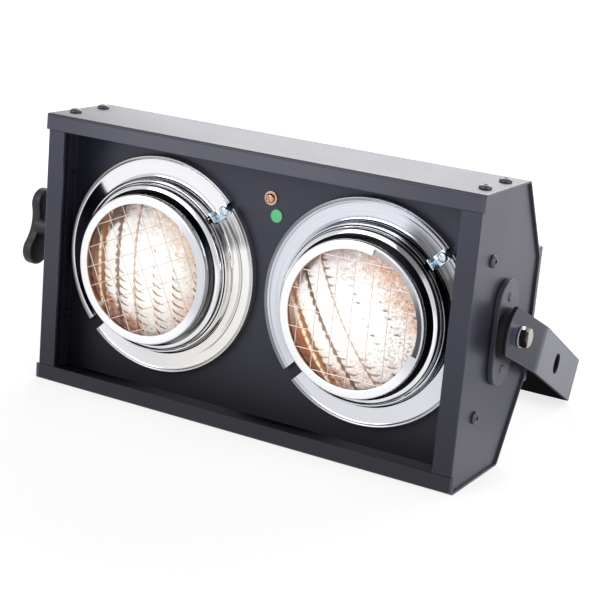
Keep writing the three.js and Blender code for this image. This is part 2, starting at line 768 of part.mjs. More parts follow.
// The mirrored rear glass: a paraboloid with a flat throat
function lampReflector() {
  const rimFront = lampSeatDepth - seat - reflectorBossHeight;
  const rimBack = lampSeatDepth - seat;
  const mouth = lampSeatRadius - seat;
  const scale = (reflectorDepth - rimBack) / mouth ** 2;
  const depthAt = (r) => reflectorDepth - scale * r ** 2;
  const radii = Array.from({ length: parabolaSteps + 1 }, (_, i) => (
    mouth + (reflectorThroatRadius - mouth) * i / parabolaSteps
  ));
  const outside = radii.map((r) => [r, depthAt(r)]);
  const throatBack = reflectorDepth + reflectorBossHeight;
  const inside = radii.map((r) => [r - reflectorGlass, depthAt(r) - reflectorGlass / 2]).reverse();
  return revolve([
    [lampRimRadius, rimFront],
    [lampRimRadius, rimBack],
    ...outside,
    [reflectorThroatRadius, throatBack],
    [0, throatBack],
    [0, reflectorDepth - reflectorGlass / 2],
    [reflectorThroatRadius - reflectorGlass, reflectorDepth - reflectorGlass / 2],
    ...inside.slice(1, -1),
    [mouth - reflectorGlass, rimFront],
  ], plainFacets);
}

function lampFilament() {
  const base = reflectorDepth - reflectorGlass / 2 - seat;
  const posts = both((side) => (
    bar('y', filamentPostRadius, filamentDepth, base, [side * filamentHalfSpan, 0], smallFacets)
  ));
  const span = filamentHalfSpan + filamentPostRadius;
  return all([...posts, bar('x', filamentCoilRadius, -span, span, [filamentDepth, 0], smallFacets)]);
}

function lampTerminal(side) {
  const front = reflectorDepth + reflectorBossHeight + seat;
  const place = [side * terminalSpacing / 2, 0];
  return bar('y', terminalRadius, front, front + terminalLength, place, smallFacets);
}

// The pieces that turn together in one split ring
function lampUnit(side) {
  const lamp = groupOf(
    named(`lamp_cup_${side}`, lampCup(), chrome),
    named(`lamp_lens_${side}`, lampLens(), lampGlass),
    named(`lamp_reflector_${side}`, lampReflector(), mirrorGlass),
    named(`lamp_filament_${side}`, lampFilament(), tungsten),
    named(`lamp_terminal_${side}_1`, lampTerminal(-1), brass),
    named(`lamp_terminal_${side}_2`, lampTerminal(1), brass),
  );
  lamp.rotation.y = -THREE.MathUtils.degToRad(lampTurns[side]);
  const guard = groupOf(named(`wire_guard_${side}`, wireGuard(), satinSteel));
  guard.rotation.y = -THREE.MathUtils.degToRad(guardTurns[side]);
  const front = named(`bezel_${side}`, bezel(side === 'right'), satinSteel);
  const ring = named(`trim_ring_${side}`, trimRing(), chrome);
  const unit = groupOf(lamp, guard, front, ring, ringClipParts(side));
  unit.position.set((side === 'left' ? -1 : 1) * lampPitch / 2, frontY, pivotHeight);
  return unit;
}

// The oval plate riveted to a side panel, drawn on the right-hand side about the pivot
function pivotPlate() {
  const [from, to] = [plateX, plateX + pivotPlateThickness];
  const half = pivotPlateWidth / 2;
  const straight = pivotPlateLength / 2 - half;
  const oval = new THREE.Shape();
  oval.absarc(0, straight, half, 0, Math.PI, false);
  oval.absarc(0, -straight, half, Math.PI, 2 * Math.PI, false);
  const outline = oval.getPoints(lobeSteps).slice(0, -1).map((p) => [p.x, p.y]);
  const rivets = both((side) => {
    const place = [0, side * pivotRivetSpacing / 2];
    return bar('x', pivotRivetRadius, (from + to) / 2, to + pivotRivetHeight, place, smallFacets);
  });
  const hole = bar('x', boltRadius + clearance, from - overrun, to + overrun);
  return all([extrudeX(outline, from, to), ...rivets]).subtract(hole);
}

function frictionDisc() {
  const [from, to] = [discX, armInnerX - seat];
  return bar('x', discRadius, from, to, [0, 0], fineFacets)
    .subtract(bar('x', boltRadius + clearance, from - overrun, to + overrun));
}

function washer() {
  const [from, to] = [yokeArmX + seat, yokeArmX + seat + washerThickness];
  const hole = bar('x', boltRadius + clearance, from - overrun, to + overrun);
  return bar('x', washerRadius, from, to).subtract(hole);
}

function pivotBolt() {
  const seatX = yokeArmX + washerThickness + 2 * seat;
  const headEnd = seatX + boltHeadHeight;
  const head = bar('x', hexRadius(boltHeadAcrossFlats), seatX, headEnd, [0, 0], hexFacets);
  return head.add(bar('x', boltRadius, panelX - studInside, headEnd - boltHeadHeight / 2));
}

function pivotNut() {
  const to = panelX - panelSheet - seat;
  const hole = bar('x', boltRadius + clearance, to - nutHeight - overrun, to + overrun);
  return bar('x', hexRadius(boltHeadAcrossFlats), to - nutHeight, to, [0, 0], hexFacets).subtract(hole);
}

// The outline of the knob's two wings, lobes up and down, with a waist between them
function wingOutline() {
  const gain = knobLobeRadius - knobWaist;
  const waistCentre = (knobLobeReach ** 2 - gain ** 2) / (2 * gain);
  const waistRadius = waistCentre - knobWaist;
  const meet = Math.atan2(knobLobeReach, waistCentre);
  const wing = new THREE.Shape();
  wing.absarc(0, knobLobeReach, knobLobeRadius, -meet, Math.PI + meet, false);
  wing.absarc(-waistCentre, 0, waistRadius, meet, -meet, true);
  wing.absarc(0, -knobLobeReach, knobLobeRadius, Math.PI - meet, 2 * Math.PI + meet, false);
  wing.absarc(waistCentre, 0, waistRadius, Math.PI + meet, Math.PI - meet, true);
  const points = wing.getPoints(lobeSteps);
  return points.filter((p, i) => i === 0 || p.distanceTo(points[i - 1]) > seat)
    .filter((p, i, list) => i < list.length - 1 || p.distanceTo(list[0]) > seat)
    .map((p) => [p.x, p.y]);
}

// The wing knob on the left: hub and wings in one moulding, with a socket for its stud
function wingKnob() {
  const hubInner = yokeArmX + washerThickness + 2 * seat;
  const wings = extrudeX(wingOutline(), -knobOuterX, -knobOuterX + knobThickness);
  const hub = bar('x', knobHubRadius, -knobOuterX + knobThickness / 2, -hubInner);
  const socketEnd = -hubInner - studSocket - seat;
  return wings.add(hub).subtract(bar('x', boltRadius + clearance, socketEnd, -hubInner + overrun));
}

function knobStud() {
  const hubInner = yokeArmX + washerThickness + 2 * seat;
  return bar('x', boltRadius, -hubInner - studSocket, -panelX + studInside);
}

function pivots() {
  const knob = groupOf(named('wing_knob', wingKnob(), plastic), named('knob_stud', knobStud(), zinc));
  knob.rotation.x = -knobTilt;
  const leftSide = groupOf(
    named('pivot_plate_left', pivotPlate(), powderCoat),
    named('friction_disc_left', frictionDisc(), rubber),
    named('knob_washer', washer(), zinc),
    named('knob_nut', pivotNut(), zinc),
  );
  leftSide.rotation.z = Math.PI;
  const group = groupOf(
    named('pivot_plate_right', pivotPlate(), powderCoat),
    named('friction_disc_right', frictionDisc(), rubber),
    named('bolt_washer', washer(), zinc),
    named('pivot_bolt', pivotBolt(), zinc),
    named('pivot_nut', pivotNut(), zinc),
    leftSide,
    knob,
  );
  group.position.set(0, atDepth(pivotDepth), pivotHeight);
  return group;
}

// The yoke: one flat bar, drawn with its reach along Y and its width along Z, then let down
// until its back bar comes to the floor
function yoke() {
  const path = rounded([
    [yokeArmX, -yokeEndRadius],
    [yokeArmX, yokeArmLength],
    [yokeBackX, yokeReach],
    [-yokeBackX, yokeReach],
    [-yokeArmX, yokeArmLength],
    [-yokeArmX, -yokeEndRadius],
  ], yokeBendRadius);
  const bent = extrudeZ(folded(path, yokeThickness), -yokeBar / 2, yokeBar / 2);
  const across = yokeArmX + overrun;
  const corner = box(
    [-across, -yokeEndRadius - overrun, -yokeBar],
    [across, 0, yokeBar],
  ).subtract(bar('x', yokeEndRadius, -across - overrun, across + overrun, [0, 0], fineFacets));
  const pivotHole = bar('x', boltRadius + clearance, -across, across);
  const armHole = bar('x', yokeHoleRadius, -across, across, [yokeHoleReach, 0]);
  const backBar = [yokeReach - yokeThickness - overrun, yokeReach + overrun];
  const clampHoles = [-clampSideHoleX, 0, clampSideHoleX].map((x) => (
    bar('y', x === 0 ? clampHoleRadius : clampSideHoleRadius, ...backBar, [x, 0])
  ));
  const mesh = named('yoke', cut(bent, [corner, pivotHole, armHole, ...clampHoles]), powderCoat);
  mesh.rotation.x = -yokeTilt;
  mesh.position.set(0, atDepth(pivotDepth), pivotHeight);
  return mesh;
}

const light = groupOf(
  named('housing_shell', shell(), powderCoat),
  named('side_panel_left', sidePanel(-1), powderCoat),
  named('side_panel_right', sidePanel(1), powderCoat),
  named('front_baffle', frontBaffle(), powderCoat),
  named('rear_cover', rearCover(), powderCoat),
  named('terminal_block', terminalBlock(), ceramic),
  named('gland_body', glandBody(), plastic),
  named('gland_nut', glandNut(), plastic),
  housingScrews(),
  earthPoint(),
  lampUnit('left'),
  lampUnit('right'),
  pivots(),
  yoke(),
);

export default light;
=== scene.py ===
"""A two-lamp audience blinder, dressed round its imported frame: folded sheet housing, chromed
lamp units, wire guards and a flat bar yoke. Sizes in the code are millimetres; +Z is up and the
front looks towards -Y."""
import contextlib
import functools
import itertools
import math
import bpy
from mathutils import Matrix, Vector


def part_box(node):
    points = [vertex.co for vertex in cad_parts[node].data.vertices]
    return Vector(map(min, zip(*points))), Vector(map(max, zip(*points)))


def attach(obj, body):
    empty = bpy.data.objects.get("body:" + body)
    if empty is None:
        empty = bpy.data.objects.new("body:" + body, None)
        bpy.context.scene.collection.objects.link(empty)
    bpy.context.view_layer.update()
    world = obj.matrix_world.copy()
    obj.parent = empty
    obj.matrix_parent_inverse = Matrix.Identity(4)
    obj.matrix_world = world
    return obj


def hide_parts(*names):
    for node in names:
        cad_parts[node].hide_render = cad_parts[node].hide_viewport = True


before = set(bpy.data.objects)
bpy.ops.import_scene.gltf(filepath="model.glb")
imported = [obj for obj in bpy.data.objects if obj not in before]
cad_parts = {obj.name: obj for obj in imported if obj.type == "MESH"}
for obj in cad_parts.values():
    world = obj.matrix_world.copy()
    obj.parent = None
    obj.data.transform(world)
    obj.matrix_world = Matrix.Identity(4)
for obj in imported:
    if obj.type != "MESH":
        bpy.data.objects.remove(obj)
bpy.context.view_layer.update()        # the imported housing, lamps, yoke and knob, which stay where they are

from types import SimpleNamespace

import bmesh
import bpy
from bpy.props import FloatProperty, FloatVectorProperty, IntProperty, PointerProperty
from mathutils import Matrix, Vector

bl_info = {
    "name": "Audience Blinder",
    "version": (1, 0, 0),
    "blender": (4, 5, 0),
    "location": "View3D > Sidebar > Blinder",
    "description": "Builds a two-lamp audience blinder round its packed frame",
    "category": "Object",
}

MM = 0.001
MERGE = 2e-6             # points closer than this, in metres, become one

# Places on the frame, in millimetres, as its nodes have them
SHELL_LOW, SHELL_HIGH = [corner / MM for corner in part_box("housing_shell")]
WIDTH = SHELL_HIGH.x
HEIGHT = SHELL_HIGH.z
FRONT = SHELL_LOW.y
REAR = SHELL_HIGH.y
PLATE_REAR = -FRONT
SLOPE_HEIGHT = 62.5
SHEET = 1.5
SEAT = 0.3               # the gap between pieces that lie on one another
PIVOT = Vector((0, (FRONT + REAR) / 2, HEIGHT / 2))
LAMP_X = 92.0
PANEL_X = WIDTH - 2
SIDES = {"left": -1, "right": 1}
LAMP_TURNS = {"left": 2, "right": 32}
GUARD_TURNS = {"left": 25, "right": 0}
CLAMP_ANGLE = 43.5
NOTCH_ANGLE = -134.5
BEZEL_GAP = (-16.5, 75.5)
GLAND_HEIGHT = 84
PIN_BORE = 4.3           # radius of the holes for the bolt and the knob's stud
HEAD_SEAT = 203.7        # where the bolt's head and the knob's hub start on their washers
CUT_OUT = 3              # how far a cutter reaches past the sheet that it cuts
# The yoke, measured from its pivot along its arms: where they bend, their eyes, and the back
YOKE_ANGLE = math.radians(23.3016)
YOKE_BEND = 54.4
YOKE_BACK = 233.0
EYE_AT = 126.5
KNOB_TILT = 13.6
# The lens: how far its long grooves bow and lie to one side, and how far its ribs sag
LENS_RADIUS = 52.0
FLUTE_SHIFT = 1.25
FLUTE_BULGE = 2.4
RIB_SAG = 11.0


def depth(value):
    """The Y of a place that many millimetres behind the housing's front."""
    return FRONT + value


def lamp_centre(side, at=0.0):
    """The middle of one lamp at a depth behind the front."""
    return Vector((SIDES[side] * LAMP_X, depth(at), PIVOT.z))


def around(angle):
    """The direction at an angle round a lamp, counter-clockwise seen from the front."""
    turn = math.radians(angle)
    return Vector((math.cos(turn), 0, math.sin(turn)))


def length(name, description, default, least=0.0):
    """A size setting, given in millimetres."""
    return FloatProperty(
        name=name, description=description, default=default * MM, min=least * MM, unit="LENGTH",
    )


class BlinderSizes(bpy.types.PropertyGroup):
    """Sizes that the frame leaves to the finished pieces."""

    bend: length("Bend radius", "Outer radius of the folds in the sheet", 1.9)
    edge: length("Edge break", "Rounding along cut edges of sheet and bar", 0.3)
    flute_pitch: length("Flute pitch", "From one long groove of the lens to the next", 16.9, 5.0)
    flute_depth: length("Flute depth", "How far the grooves of the lens go in", 1.1)
    rib_pitch: length("Rib pitch", "From one cross rib of the lens to the next", 6.5, 1.0)
    wire: length("Guard wire", "Thickness of the wires in front of the lamps", 0.7, 0.2)
    wire_pitch: length("Guard pitch", "From one guard wire to the next", 14.7, 4.0)
    facets: IntProperty(
        name="Facets", description="Faces round the large turned pieces",
        default=144, min=24, max=256,
    )


def colour(name, description, red, green, blue):
    """A colour setting, written as it renders, in 0 to 255."""
    linear = [channel_to_linear(value / 255) for value in (red, green, blue)]
    return FloatVectorProperty(
        name=name, description=description, subtype="COLOR", size=3, min=0, max=1, default=linear,
    )


def channel_to_linear(value):
    """A share of full colour as it renders, made linear."""
    return value / 12.92 if value <= 0.04045 else ((value + 0.055) / 1.055) ** 2.4


class BlinderColours(bpy.types.PropertyGroup):
    """Colours of the finishes."""

    coat: colour("Powder coat", "Black powder coat on sheet and bar", 43, 43, 56)
    steel: colour("Black steel", "Blackened screws of the housing", 38, 40, 48)
    zinc: colour("Zinc", "Clips and nuts", 212, 226, 236)
    copper: colour("Copper", "Earth screw and washer", 214, 174, 154)
    rubber: colour("Friction disc", "Black discs between plate and yoke", 24, 24, 26)
    plastic: colour("Moulded plastic", "Wing knob and gland", 18, 18, 22)
    label: colour("Earth label", "Round label beside the earth screw", 108, 212, 148)
    ceramic: colour("Ceramic", "Terminal block", 232, 226, 212)
    # the three lens colours are painted reflections and shade seen in the glass
    amber: colour("Lens edge", "Pale warm edge of a lens", 232, 176, 142)
    rust: colour("Lens side", "Deep warm side of a lens", 176, 102, 62)
    umber: colour("Lens shade", "Grooves and the shaded side of a lens", 104, 68, 50)
    tungsten: colour("Filament", "Filament and its posts", 190, 184, 172)
    mirror: colour("Reflector", "Mirrored glass behind the lens", 206.4, 190.8, 169.6)
    floor: colour("Floor", "Studio floor and backdrop", 246, 246, 247)


# Modelling: each helper works on one piece, with everything else deselected


def only(*pieces):
    """Selects these pieces and nothing else; the first is the active one."""
    bpy.ops.object.select_all(action="DESELECT")
    for piece in pieces:
        piece.select_set(True)
    bpy.context.view_layer.objects.active = pieces[0]


@contextlib.contextmanager
def editing(piece, kind="VERT"):
    """Edit mode on one piece, with all of it selected."""
    only(piece)
    bpy.ops.object.mode_set(mode="EDIT")
    bpy.ops.mesh.select_mode(type=kind)
    bpy.ops.mesh.select_all(action="SELECT")
    yield piece
    bpy.ops.object.mode_set(mode="OBJECT")


def pick(piece, kind, test):
    """Selects the faces or edges that pass a test: of a middle and a normal, or of two ends."""
    bpy.ops.mesh.select_mode(type=kind)
    bpy.ops.mesh.select_all(action="DESELECT")
    form = bmesh.from_edit_mesh(piece.data)
    form.normal_update()
    for part in {"EDGE": form.edges, "FACE": form.faces}[kind]:
        if kind == "EDGE":
            ends = [vert.co / MM for vert in part.verts]
            chosen = test(*ends)
        else:
            chosen = test(part.calc_center_median() / MM, part.normal)
        if chosen:
            part.select_set(True)
    form.select_flush_mode()
    bmesh.update_edit_mesh(piece.data)


def near(value, target, room=0.02):
    return abs(value - target) < room


def named(piece, name):
    piece.name = name
    piece.data.name = name
    return piece


def settle(piece):
    """Puts the place, turn and scale of a piece into its mesh."""
    only(piece)
    bpy.ops.object.transform_apply(location=True, rotation=True, scale=True)
    return piece


def extrude(by):
    bpy.ops.mesh.extrude_region_move(TRANSFORM_OT_translate={"value": Vector(by) * MM})


def cleaned(piece):
    """Merges doubled points and turns the faces outwards."""
    with editing(piece):
        bpy.ops.mesh.remove_doubles(threshold=MERGE)
        bpy.ops.mesh.normals_make_consistent(inside=False)
    return piece


def line_of(name, points, closed=False):
    """A line of edges through points, drawn from one vertex by extruding."""
    bpy.ops.object.select_all(action="DESELECT")
    bpy.ops.mesh.primitive_plane_add(size=MM, location=Vector(points[0]) * MM)
    piece = settle(named(bpy.context.object, name))
    with editing(piece):
        bpy.ops.mesh.merge(type="CENTER")
        for before, after in zip(points, points[1:]):
            extrude(Vector(after) - Vector(before))
        if closed:
            extrude(Vector(points[0]) - Vector(points[-1]))
            bpy.ops.mesh.select_all(action="SELECT")
            bpy.ops.mesh.remove_doubles(threshold=MERGE)
    return piece


def softened(points, reach, steps=3, closed=True):
    """A line whose corners are rounded over a reach; a third number on a point is its own reach."""
    result = []
    for i, (u, v, *own) in enumerate(points):
        here = Vector((u, v))
        back = Vector(points[i - 1][:2]) - here
        on = Vector(points[(i + 1) % len(points)][:2]) - here
        ends = not closed and i in (0, len(points) - 1)
        reach_here = min(own[0] if own else reach, 0.45 * back.length, 0.45 * on.length)
        if ends or reach_here <= 0 or back.angle(on) > 3.1:
            result.append((u, v))
            continue
        start, end = here + back.normalized() * reach_here, here + on.normalized() * reach_here
        for step in range(steps + 1):
            t = step / steps
            place = start * (1 - t) ** 2 + here * 2 * t * (1 - t) + end * t ** 2
            result.append(tuple(place))
    return result


def bent(points, radius):
    """A line with a true arc of a radius at each of its inner corners."""
    steps = 8
    result = [tuple(points[0])]
    for before, corner, after in zip(points, points[1:], points[2:]):
        here = Vector(corner)
        back = (Vector(before) - here).normalized()
        on = (Vector(after) - here).normalized()
        reach = radius * math.tan((math.pi - back.angle(on)) / 2)
        middle = here + (back + on).normalized() * math.hypot(reach, radius)
        first = (here + back * reach - middle).normalized()
        last = (here + on * reach - middle).normalized()
        for i in range(steps + 1):
            result.append(tuple(middle + first.slerp(last, i / steps) * radius))
    return [*result, tuple(points[-1])]


def moved_sideways(points, distance):
    """A line moved to its left, with mitred corners."""
    ways = [(Vector(b) - Vector(a)).normalized() for a, b in zip(points, points[1:])]
    lefts = [Vector((-way.y, way.x)) for way in ways]
    result = []
    for i, point in enumerate(points):
        before, after = lefts[max(i - 1, 0)], lefts[min(i, len(lefts) - 1)]
        result.append(tuple(Vector(point) + (before + after) * distance / (1 + before.dot(after))))
    return result


def strip(points, radius, sheet):
    """The outline of a strip bent along its outer line, with its thickness inside the bends.
    The sheet is positive where the inside lies on the left of the line."""
    inner = moved_sideways(points, sheet)
    return [*bent(points, radius), *reversed(bent(inner, radius - abs(sheet)))]


def turned(name, profile, centre, along=(0, 1, 0), steps=None):
    """A piece turned on a lathe: a profile of (radius, distance along the axis) spun round."""
    along, centre = Vector(along), Vector(centre)
    out = Vector((1, 0, 0)) if abs(along.x) < 0.5 else Vector((0, 0, 1))
    points = [centre + out * radius + along * travel for radius, travel in profile]
    piece = line_of(name, points, closed=profile[0][0] > 0 or profile[-1][0] > 0)
    with editing(piece):
        bpy.ops.mesh.spin(
            steps=steps or bpy.context.scene.blinder_sizes.facets, angle=2 * math.pi,
            center=centre * MM, axis=along,
        )
    return cleaned(piece)


def washer(name, inner, outer, low, high, reach, *place, steps=2):
    """A washer, or a disc where the inner radius is 0, with its corners rounded over a reach. The
    place is what turned() takes after the profile."""
    corners = [(inner, low), (outer, low), (outer, high), (inner, high)]
    return turned(name, softened(corners, reach, steps, closed=inner > 0), *place)


def slab(name, outline, plane, low, high):
    """A flat outline in the YZ, XZ or XY plane, extruded from low to high along the third axis."""
    places = {
        "YZ": lambda u, v: (low, u, v),
        "XZ": lambda u, v: (u, low, v),
        "XY": lambda u, v: (u, v, low),
    }
    by = {"YZ": (1, 0, 0), "XZ": (0, 1, 0), "XY": (0, 0, 1)}[plane]
    piece = line_of(name, [places[plane](*point) for point in outline], closed=True)
    with editing(piece):
        bpy.ops.mesh.edge_face_add()
        extrude(Vector(by) * (high - low))
    return cleaned(piece)


def folded(name, path, by, bend):
    """A sheet folded along a path: the path is drawn, extruded sideways, its folds rounded and
    the sheet given its thickness on the side away from its normals."""
    piece = line_of(name, path)
    corners = [Vector(point) for point in path[1:-1]]
    with editing(piece, "EDGE"):
        extrude(by)
        bpy.ops.mesh.select_all(action="SELECT")
        bpy.ops.mesh.normals_make_consistent(inside=False)
        direction = Vector(by).normalized()
        flat = [corner - direction * corner.dot(direction) for corner in corners]

        def fold(a, b):
            if abs((b - a).normalized().dot(direction)) < 0.99:
                return False
            base = a - direction * a.dot(direction)
            return any((base - corner).length < 0.02 for corner in flat)

        pick(piece, "EDGE", fold)
        bpy.ops.mesh.bevel(offset=bend, segments=4, affect="EDGES")
    return thickened(piece)


def applied(piece, kind, **settings):
    """Adds a modifier with its settings and applies it."""
    only(piece)
    modifier = piece.modifiers.new(kind.title(), kind)
    for name, value in settings.items():
        setattr(modifier, name, value)
    bpy.ops.object.modifier_apply(modifier=modifier.name)
    return piece


def thickened(piece):
    return applied(piece, "SOLIDIFY", thickness=SHEET * MM, offset=-1, use_even_offset=True)


def broken(piece, width, segments=2, angle=35):
    """Rounds the edges that are sharper than an angle; the width is in metres."""
    return applied(
        piece, "BEVEL", width=width, segments=segments, limit_method="ANGLE",
        angle_limit=math.radians(angle), use_clamp_overlap=True,
    )


def joined(*pieces):
    if len(pieces) > 1:
        only(*pieces)
        bpy.ops.object.join()
    return pieces[0]


def cut(piece, *others, operation="DIFFERENCE"):
    """Takes other pieces out of a piece, one after the other, or adds them with UNION."""
    for other in others:
        applied(piece, "BOOLEAN", object=other, operation=operation, solver="EXACT")
        bpy.data.objects.remove(other)
    return piece


def rod(name, radius, start, end, sides=48):
    """A round or many-sided bar from one place to another."""
    start, end = Vector(start), Vector(end)
    way = end - start
    bpy.ops.object.select_all(action="DESELECT")
    bpy.ops.mesh.primitive_cylinder_add(
        vertices=sides, radius=radius * MM, depth=way.length * MM,
        location=(start + end) / 2 * MM,
    )
    piece = named(bpy.context.object, name)
    piece.rotation_mode = "QUATERNION"
    piece.rotation_quaternion = way.to_track_quat("Z", "X")
    return settle(piece)


def block(name, low, high):
    """A box between two corners."""
    low, high = Vector(low), Vector(high)
    bpy.ops.object.select_all(action="DESELECT")
    bpy.ops.mesh.primitive_cube_add(
        size=1, location=(low + high) / 2 * MM, scale=(high - low) * MM,
    )
    return settle(named(bpy.context.object, name))


def around_by(first, last, steps):
    """Points on an arc of radius 1, both ends with it."""
    turns = [first + (last - first) * i / steps for i in range(steps + 1)]
    return [(math.cos(turn), math.sin(turn)) for turn in turns]


def stadium(centre_u, centre_v, half_width, half_length, steps=12):
    """A long round-ended outline, upright, for slots and the pivot plates."""
    straight = half_length - half_width
    points = []
    for end, first in ((1, 0), (-1, math.pi)):
        arc = around_by(first, first + math.pi, steps)
        points += [
            (centre_u + half_width * u, centre_v + end * straight + half_width * v) for u, v in arc
        ]
    return points


def copied(piece, name, place, towards, spin=0.0):
    """A copy with its own mesh, whose +Z now looks in a direction from a place."""
    only(piece)
    bpy.ops.object.duplicate(linked=False)
    twin = named(bpy.context.object, name)
    turn = Vector(towards).to_track_quat("Z", "Y").to_matrix().to_4x4()
    twin.matrix_world = (
        Matrix.Translation(Vector(place) * MM) @ turn @ Matrix.Rotation(spin, 4, "Z")
    )
    return settle(twin)


def turned_about(piece, centre, axis, angle):
    """Turns a piece about an axis through a place, by degrees."""
    centre = Vector(centre) * MM
    piece.matrix_world = (
        Matrix.Translation(centre)
        @ Matrix.Rotation(math.radians(angle), 4, Vector(axis))
        @ Matrix.Translation(-centre)
    )
    return settle(piece)


def swung(piece, centre, angle):
    """Turns a piece about a lamp's axis, counter-clockwise seen from the front."""
    return turned_about(piece, centre, (0, -1, 0), angle)


def at_lamp(piece, side):
    """Moves a piece that was made round the origin to the axis of a lamp."""
    piece.location = (SIDES[side] * LAMP_X * MM, 0, PIVOT.z * MM)
    return settle(piece)


def pivot_rod(radius, low, high):
    """A round bar along the axis of the yoke's pivots, between two values of X."""
    return rod("pivot_rod", radius, (low, PIVOT.y, PIVOT.z), (high, PIVOT.y, PIVOT.z))


def dressed(piece, finish):
    """Gives a piece one of the finishes and nothing else."""
    piece.data.materials.clear()
    piece.data.materials.append(material(finish))


def finished(piece, body, slot, *nodes, finish=None, smooth=32):
    """Gives a piece its smoothing and finish, puts it under its body and hides the nodes that it
    stands for; the slot is the finish when none is given, and powder coat gets weighted normals.
    """
    settle(piece)
    bpy.ops.object.shade_smooth_by_angle(angle=math.radians(smooth))
    if slot == "powder_coat":
        applied(piece, "WEIGHTED_NORMAL", keep_sharp=True, weight=80)
    dressed(piece, finish or slot)
    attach(piece, body)
    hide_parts(*nodes)


# Shader maths


def fill(tree, socket, value):
    """Links a socket to a Shade, or gives it a plain value."""
    if isinstance(value, Shade):
        tree.links.new(value.socket, socket)
    else:
        socket.default_value = value


def arithmetic(operation, reflected=False):
    """An operator of Shade, which adds its Math node."""
    def act(self, other):
        return self.maths(operation, *((other, self) if reflected else (self, other)))
    return act


class Shade:
    """A socket of a material that is being made, with the arithmetic that shaders need."""

    def __init__(self, tree, socket):
        self.tree = tree
        self.socket = socket

    def node(self, kind, sockets=(), output=0, **settings):
        """Any node: its settings first, then values or links for its sockets."""
        made = self.tree.nodes.new(kind)
        for name, value in settings.items():
            setattr(made, name, value)
        for name, value in dict(sockets).items():
            fill(self.tree, made.inputs[name], value)
        return Shade(self.tree, made.outputs[output])

    def maths(self, operation, *values):
        return self.node("ShaderNodeMath", dict(enumerate(values)), operation=operation)

    __add__, __radd__ = arithmetic("ADD"), arithmetic("ADD", True)
    __sub__, __rsub__ = arithmetic("SUBTRACT"), arithmetic("SUBTRACT", True)
    __mul__, __rmul__ = arithmetic("MULTIPLY"), arithmetic("MULTIPLY", True)
    __truediv__, __pow__ = arithmetic("DIVIDE"), arithmetic("POWER")
    most = arithmetic("MAXIMUM")

    def __neg__(self):
        return self * -1.0

    def __abs__(self):
        return self.maths("ABSOLUTE", self)

    def fraction(self):
        return self.maths("FRACT", self)

    def xyz(self, unit=MM):
        """The X, Y and Z of a place, in millimetres."""
        parts = self.node("ShaderNodeSeparateXYZ", {0: self}).socket.node.outputs
        return [Shade(self.tree, part) / unit for part in parts]

    def step(self, low, high, ends=(0.0, 1.0)):
        """0 below low, 1 above high, and smooth between."""
        sockets = {"Value": self, "From Min": low, "From Max": high}
        sockets.update({"To Min": ends[0], "To Max": ends[1]})
        return self.node("ShaderNodeMapRange", sockets, interpolation_type="SMOOTHSTEP")

    def fall(self, low, high):
        """1 below low, 0 above high, and smooth between."""
        return self.step(low, high, (1.0, 0.0))

    def noise(self, scale, detail=2.0, rough=0.5, stretch=None):
        """Noise at a number of lumps to the metre, on this vector."""
        vector = self
        if stretch:
            vector = self.node("ShaderNodeMapping", {"Vector": self, "Scale": stretch})
        return self.node(
            "ShaderNodeTexNoise",
            {"Vector": vector, "Scale": scale, "Detail": detail, "Roughness": rough},
        )

    def tint(self, dark, light):
        """A colour that goes from dark to light with this value."""
        ends = [shade if isinstance(shade, Shade) else (*shade, 1) for shade in (dark, light)]
        sockets = {0: self, 6: ends[0], 7: ends[1]}
        return self.node("ShaderNodeMix", sockets, data_type="RGBA", output=2)

    def vary(self, shade, low, high):
        """A colour, darker or lighter with this value."""
        return self.tint(shades(shade, low), shades(shade, high))

    def bump(self, strength, height, normal=None):
        """A normal from this height field, whose full height is in metres."""
        sockets = {"Strength": strength, "Distance": height, "Height": self}
        if normal is not None:
            sockets["Normal"] = normal
        return self.node("ShaderNodeBump", sockets)


def shades(shade, gain):
    """A colour made lighter or darker."""
    return tuple(min(1.0, channel * gain) for channel in shade)


def painted(base, *layers):
    """A colour with others laid over it in turn, each with how far it covers what is below."""
    for share, shade in layers:
        base = share.tint(base, shade)
    return base


def picked(name):
    """A colour of the settings, as three plain numbers."""
    return tuple(getattr(bpy.context.scene.blinder_colours, name))


FINISHES = {}


def finish(recipe):
    """Lists a recipe, which gets its place in space and returns the values of its sockets."""
    FINISHES[recipe.__name__] = recipe
    return recipe


def finish_of_lamps(recipe):
    """Lists a recipe once for each lamp; it gets the lamp's side as well."""
    for side in SIDES:
        FINISHES[f"{recipe.__name__}_{side}"] = functools.partial(recipe, side=side)
    return recipe


@functools.cache
def material(name):
    """The material of a finish, made once."""
    made = bpy.data.materials.new(name)
    made.use_nodes = True
    tree = made.node_tree
    shader = tree.nodes["Principled BSDF"]
    place = Shade(tree, None).node("ShaderNodeTexCoord", output=3)
    for socket, value in FINISHES[name](place).items():
        fill(tree, shader.inputs[socket], value)
    return made


COAT_SHEEN = (0.86, 0.86, 1.0, 1.0)


